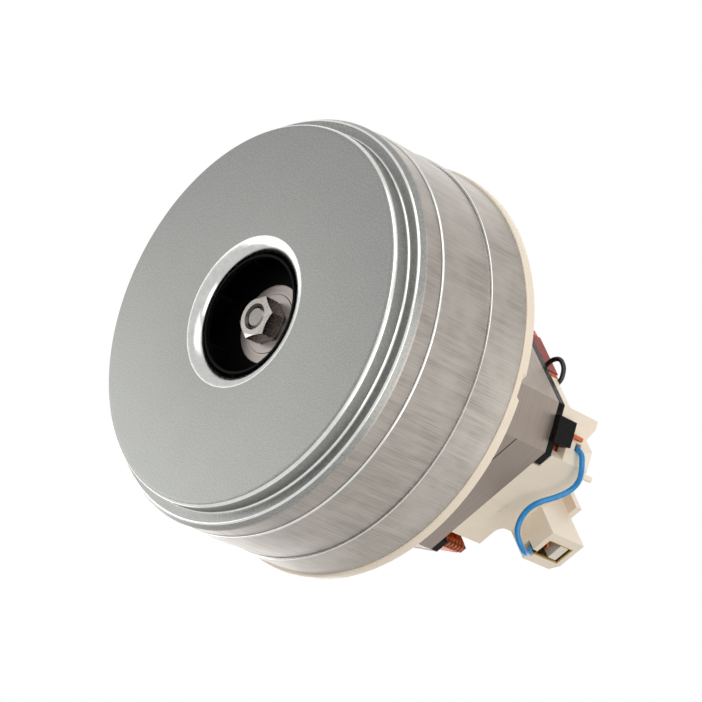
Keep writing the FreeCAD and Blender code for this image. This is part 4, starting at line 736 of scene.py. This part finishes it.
class MotorShaftLine(bpy.types.Operator):
    """Makes the nut and the washers, and finishes the shaft and the bearings"""
    bl_idname = "motor.shaft_line"
    bl_label = "Shaft, nut and bearings"

    def execute(self, context):
        look = context.scene.motor_colours
        steel = plated_steel(look)
        washer = turned_washer(look)
        # The nut is a darker copy of the plated steel, with the full tone on its front chamfer: painted shade and
        # painted highlight.
        piece = put("hexagon_nut", self.nut(), "rotor", plated_steel(look, "plated_nut_painted_shade", 0.62),
                    ("shaft_nut",))
        part_finish(piece, plated_steel(look, "thread_in_shadow", 0.12), ((3.7, 4.2, 5.2, 6.0),))
        part_finish(piece, steel, ((5.9, 7.2, 5.19, 6.0),))
        front = 12.0
        profile = [(4.05, front), (10.0, front)] + arc((10.1, front + 0.15), 0.15, -90, 0, 3) + [
            (10.3, front + 0.3), (13.2, front + 0.3)] + arc((13.3, front + 0.7), 0.4, -90, 0, 4) + [
            (13.7, front + 1.2), (4.05, front + 1.2)]
        put("washer_turned", turned("front_clamp_washer", profile, 96), "rotor", washer,
            ("front_clamp_washer",))
        finish_node("shaft", plated_steel(look, "ground_shaft", 0.42))
        for node in ("front_bearing_outer_race", "rear_bearing_outer_race",
                     "front_bearing_inner_race", "rear_bearing_inner_race", "front_bearing_balls",
                     "rear_bearing_balls", "retainer_screws", "field_screws", "bearing_retainer"):
            finish_node(node, steel)
        for node in ("rear_clamp_washer", "impeller_spacer", "bearing_spacer"):
            finish_node(node, washer)
        return {"FINISHED"}

    def nut(self):
        """A hexagon nut whose chamfers cut its corners in curves, as a turned chamfer does."""
        flats = 13.0
        front = 5.2
        rear = 12.0
        inner = 3.75
        flat_radius = flats / 2 * 0.95
        slope = math.tan(math.radians(28))
        steps = 120
        build = bmesh.new()
        rings = []
        for step in range(steps):
            turn = 2 * math.pi * step / steps
            away = math.degrees(turn) % 60 - 30
            edge = flats / 2 / math.cos(math.radians(away))
            drop = (edge - flat_radius) * slope
            profile = [(inner, front + 0.7), (inner + 0.75, front), (flat_radius, front)]
            profile += [(flat_radius + (edge - flat_radius) * k / 3, front + drop * k / 3) for k in (1, 2, 3)]
            profile += [(edge, rear - drop), (flat_radius, rear), (inner, rear)]
            rings.append([build.verts.new((r * math.cos(turn) * MM, r * math.sin(turn) * MM, z * MM))
                          for r, z in profile])
        count = len(rings[0])
        for step in range(steps):
            here, ahead = rings[step], rings[(step + 1) % steps]
            for index in range(count):
                after = (index + 1) % count
                build.faces.new((here[index], ahead[index], ahead[after], here[after]))
        bmesh.ops.recalc_face_normals(build, faces=build.faces)
        mesh = bpy.data.meshes.new("hexagon_nut")
        build.to_mesh(mesh)
        build.free()
        smooth(mesh, 22)
        return mesh


class MotorField(bpy.types.Operator):
    """Finishes the lamination stack and its frames, and winds the field coils"""
    bl_idname = "motor.field"
    bl_label = "Field"

    def execute(self, context):
        look = context.scene.motor_colours
        finish_node("stator_core", lamination_stack(look))
        nylon = frame_nylon(look)
        for node in ("front_end_frame", "near_rear_end_frame", "far_rear_end_frame"):
            finish_node(node, nylon)
            ease_edges(node, 0.25)
        wire = enamelled_wire(look)
        core = coil_core(look)
        for node, side in (("upper_field_coil", 1), ("lower_field_coil", -1)):
            finish_node(node, core)
            self.end_turns(node, side, wire, context.scene.motor_sizes.wire / MM)
        finish_node("coil_tape", varnished_tape(look))
        return {"FINISHED"}

    def end_turns(self, node, side, material, radius):
        """Wires on the outside of a coil's end turns, found by slicing the coil's own surface."""
        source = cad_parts[node].data
        build = bmesh.new()
        build.from_mesh(source)
        bmesh.ops.remove_doubles(build, verts=build.verts, dist=2e-6)
        low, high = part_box(node)
        pitch = 2 * radius
        routes = []
        for start, stop in ((low[2] / MM, 67.6), (101.4, high[2] / MM)):
            count = int((stop - start) / pitch)
            for step in range(count):
                height = start + radius + (stop - start - 2 * radius) * step / max(1, count - 1)
                cut = build.copy()
                made = bmesh.ops.bisect_plane(
                    cut, geom=cut.verts[:] + cut.edges[:] + cut.faces[:], plane_co=(0, 0, height * MM),
                    plane_no=(0, 0, 1), clear_inner=True, clear_outer=True)["geom_cut"]
                edges = [e for e in made if isinstance(e, bmesh.types.BMEdge)]
                routes += self.loops(edges, height, 0.25 * radius)
                if step == (0 if stop < 80 else count - 1):
                    # The open end of the coil shows its upper layer, turn beside turn.
                    face = height + (-0.7 if stop < 80 else 0.7) * radius
                    for turn in range(1, 6):
                        routes += self.loops(edges, face, (0.25 + 2 * turn) * radius)
                cut.free()
        build.free()
        if not routes:
            raise RuntimeError("no end turns were found on " + node)
        put(node + "_wires", wire_piece(node + "_wires", routes, radius, closed=True, sides=1), "motor",
            material)

    def loops(self, edges, height, inset):
        """The closed outlines of a slice as routes, drawn in by an inset and evenly spaced."""
        links = {}
        for edge in edges:
            links.setdefault(edge.verts[0], []).append(edge.verts[1])
            links.setdefault(edge.verts[1], []).append(edge.verts[0])
        found = []
        left = set(links)
        while left:
            first = left.pop()
            line = [first]
            while True:
                ahead = [v for v in links[line[-1]] if v in left]
                if not ahead:
                    break
                line.append(ahead[0])
                left.discard(ahead[0])
            points = [Vector((v.co.x / MM, v.co.y / MM)) for v in line]
            if len(points) < 4:
                continue
            found.append(self.spaced(points, height, inset))
        return [route for route in found if len(route) > 8]

    def spaced(self, points, height, inset):
        """Points some 2.5 mm apart round an outline, moved inwards."""
        lengths = [(points[(i + 1) % len(points)] - p).length for i, p in enumerate(points)]
        total = sum(lengths)
        count = max(12, int(total / 2.5))
        area = sum(p.x * points[(i + 1) % len(points)].y - p.y * points[(i + 1) % len(points)].x
                   for i, p in enumerate(points))
        inward = 1 if area > 0 else -1
        route = []
        index = 0
        walked = 0.0
        for step in range(count):
            goal = total * step / count
            while walked + lengths[index] < goal:
                walked += lengths[index]
                index += 1
            here = points[index]
            ahead = points[(index + 1) % len(points)]
            along = (ahead - here).normalized()
            at = here + along * (goal - walked)
            route.append((at.x - along.y * inset * inward, at.y + along.x * inset * inward, height))
        return route


class MotorArmature(bpy.types.Operator):
    """Finishes the armature and the commutator"""
    bl_idname = "motor.armature"
    bl_label = "Armature"

    def execute(self, context):
        look = context.scene.motor_colours
        finish_node("armature_core", lamination_stack(look))
        finish_node("armature_winding", enamelled_wire(look))
        finish_node("commutator", bare_copper(look))
        finish_node("shaft_sleeve", frame_nylon(look))
        return {"FINISHED"}


class MotorBrushGear(bpy.types.Operator):
    """Finishes the brush gear and winds its springs"""
    bl_idname = "motor.brush_gear"
    bl_label = "Brush gear"

    def execute(self, context):
        look = context.scene.motor_colours
        brass = rolled_brass(look)
        carbon = pressed_carbon(look)
        cap = cap_plastic(look)
        copper = bare_copper(look)
        steel = plated_steel(look)
        # Holders and clips inside the boxes are a near-black copy of the brass: painted shade of the boxes' dark
        # inside.
        dull = rolled_brass(look, "brass_painted_shade", 0.16)
        wire = enamelled_wire(look)
        for side, sign in (("near", 1), ("far", -1)):
            finish_node(side + "_brush_holder", dull)
            finish_node(side + "_brush_clip", dull)
            finish_node(side + "_brush", carbon)
            finish_node(side + "_brush_cap", cap)
            finish_node(side + "_brush_shunt", copper)
            spring = put(side + "_brush_spring_wound", self.spring(side, sign), "motor", steel,
                         (side + "_brush_spring",))
            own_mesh(spring)
            put(side + "_holder_mouth", self.mouth(side, sign), "motor", brass)
            # The photo shows a small copper-red part in the box; that it is a bent wire is a guess.
            bend = [(sign * x, sign * y, z) for x, y, z in (
                (49.4, -2.2, 126.2), (51.2, -1.6, 127.4), (52.4, -0.2, 128.8), (52.6, 1.0, 129.6),
                (51.4, 1.9, 128.9), (49.6, 2.2, 127.6))]
            put(side + "_clip_bend", wire_piece(side + "_clip_bend", [bend], 0.55, sides=3), "motor", wire)
        return {"FINISHED"}

    def spring(self, side, sign):
        """A brush spring: seven turns of wire between the brush and the clip."""
        turns, per_turn = 7, 16
        inner, outer, radius = 35.2, 48.2, 2.5
        route = []
        for step in range(turns * per_turn + 1):
            turn = 2 * math.pi * step / per_turn
            along = inner + (outer - inner) * step / (turns * per_turn)
            route.append((sign * along, radius * math.cos(turn), 130.6 + radius * math.sin(turn)))
        return wire_piece(side + "_brush_spring_wound", [route], 0.35)

    def mouth(self, side, sign):
        """The holder's folded end: a thin brass frame inside the mouth of the brush box."""
        outer_y, outer_z, sheet = 3.85, 6.25, 0.5
        middle = 130.6
        corners = []
        for along in (53.65, 54.7):
            for inset in (0.0, sheet):
                corners += [(sign * along * MM, y * (outer_y - inset) * MM, (middle + z * (outer_z - inset)) * MM)
                            for y, z in ((-1, -1), (1, -1), (1, 1), (-1, 1))]
        faces = []
        for step in range(4):
            ahead = (step + 1) % 4
            faces += [(step, ahead, 4 + ahead, 4 + step), (8 + step, 12 + step, 12 + ahead, 8 + ahead),
                      (step, 8 + step, 8 + ahead, ahead), (4 + step, 4 + ahead, 12 + ahead, 12 + step)]
        build = bmesh.new()
        points = [build.verts.new(corner) for corner in corners]
        for face in faces:
            build.faces.new([points[index] for index in face])
        bmesh.ops.recalc_face_normals(build, faces=build.faces)
        bmesh.ops.bevel(build, geom=build.edges[:], offset=0.08 * MM, segments=2, affect="EDGES")
        mesh = bpy.data.meshes.new(side + "_holder_mouth")
        build.to_mesh(mesh)
        build.free()
        smooth(mesh, 40)
        return mesh


class MotorLeads(bpy.types.Operator):
    """Lays the blue jumper, the black loop and the coil's bare end"""
    bl_idname = "motor.leads"
    bl_label = "Leads"

    def execute(self, context):
        look = context.scene.motor_colours
        # From the corner wall's hole, down along the leg and round into the notch of the near brush box.
        route = (
            (37.9, -31.1, 116.1), (41.3, -32.5, 116.0), (44.8, -30.8, 116.2), (46.6, -28.0, 118.0),
            (47.2, -24.9, 119.8), (48.0, -21.3, 119.3), (48.7, -18.4, 117.1), (49.2, -15.8, 114.4),
            (49.5, -13.4, 111.7), (49.5, -10.1, 110.1), (50.0, -6.5, 109.8), (51.4, -3.1, 110.0),
            (54.0, -0.5, 110.4), (56.6, 0.8, 111.9), (58.6, 2.3, 115.0), (57.6, 3.1, 118.2),
            (55.0, 3.6, 121.5), (52.8, 3.6, 123.5))
        curve = bpy.data.curves.new("blue_lead", "CURVE")
        curve.dimensions = "3D"
        curve.bevel_depth = context.scene.motor_sizes.lead
        curve.bevel_resolution = 6
        curve.resolution_u = 10
        curve.use_fill_caps = True
        spline = curve.splines.new("NURBS")
        spline.points.add(len(route) - 1)
        for point, place in zip(spline.points, route):
            point.co = (place[0] * MM, place[1] * MM, place[2] * MM, 1)
        spline.order_u = 3
        spline.use_endpoint_u = True
        lead = put("blue_jumper_lead", curve, "motor", sleeve(look, "blue_silicone_sleeve", look.blue, 0.24),
                   ("blue_lead",))
        finish_node("black_lead", sleeve(look, "black_silicone_sleeve", look.black, 0.35))
        finish_node("copper_lead", enamelled_wire(look))
        return {"FINISHED"}


class MotorPanel(bpy.types.Panel):
    """The motor's sizes, colours and pieces"""
    bl_idname = "VIEW3D_PT_motor"
    bl_label = "Vacuum motor"
    bl_space_type = "VIEW_3D"
    bl_region_type = "UI"
    bl_category = "Motor"

    def draw(self, context):
        for step in STEPS:
            self.layout.operator(step.bl_idname)
        for group in (context.scene.motor_sizes, context.scene.motor_colours):
            box = self.layout.box()
            for name in group.__annotations__:
                box.prop(group, name)


STEPS = (MotorStage, MotorLeads, MotorFanShells, MotorCarrier, MotorFan, MotorShaftLine, MotorField,
         MotorArmature, MotorBrushGear)


def register():
    for kind in (MotorColours, MotorSizes, *STEPS, MotorPanel):
        bpy.utils.register_class(kind)
    bpy.types.Scene.motor_colours = bpy.props.PointerProperty(type=MotorColours)
    bpy.types.Scene.motor_sizes = bpy.props.PointerProperty(type=MotorSizes)


def unregister():
    del bpy.types.Scene.motor_sizes
    del bpy.types.Scene.motor_colours
    for kind in reversed((MotorColours, MotorSizes, *STEPS, MotorPanel)):
        bpy.utils.unregister_class(kind)


def main():
    register()
    for step in STEPS:
        group, name = step.bl_idname.split(".")
        getattr(getattr(bpy.ops, group), name)()


if __name__ == "__main__":
    main()
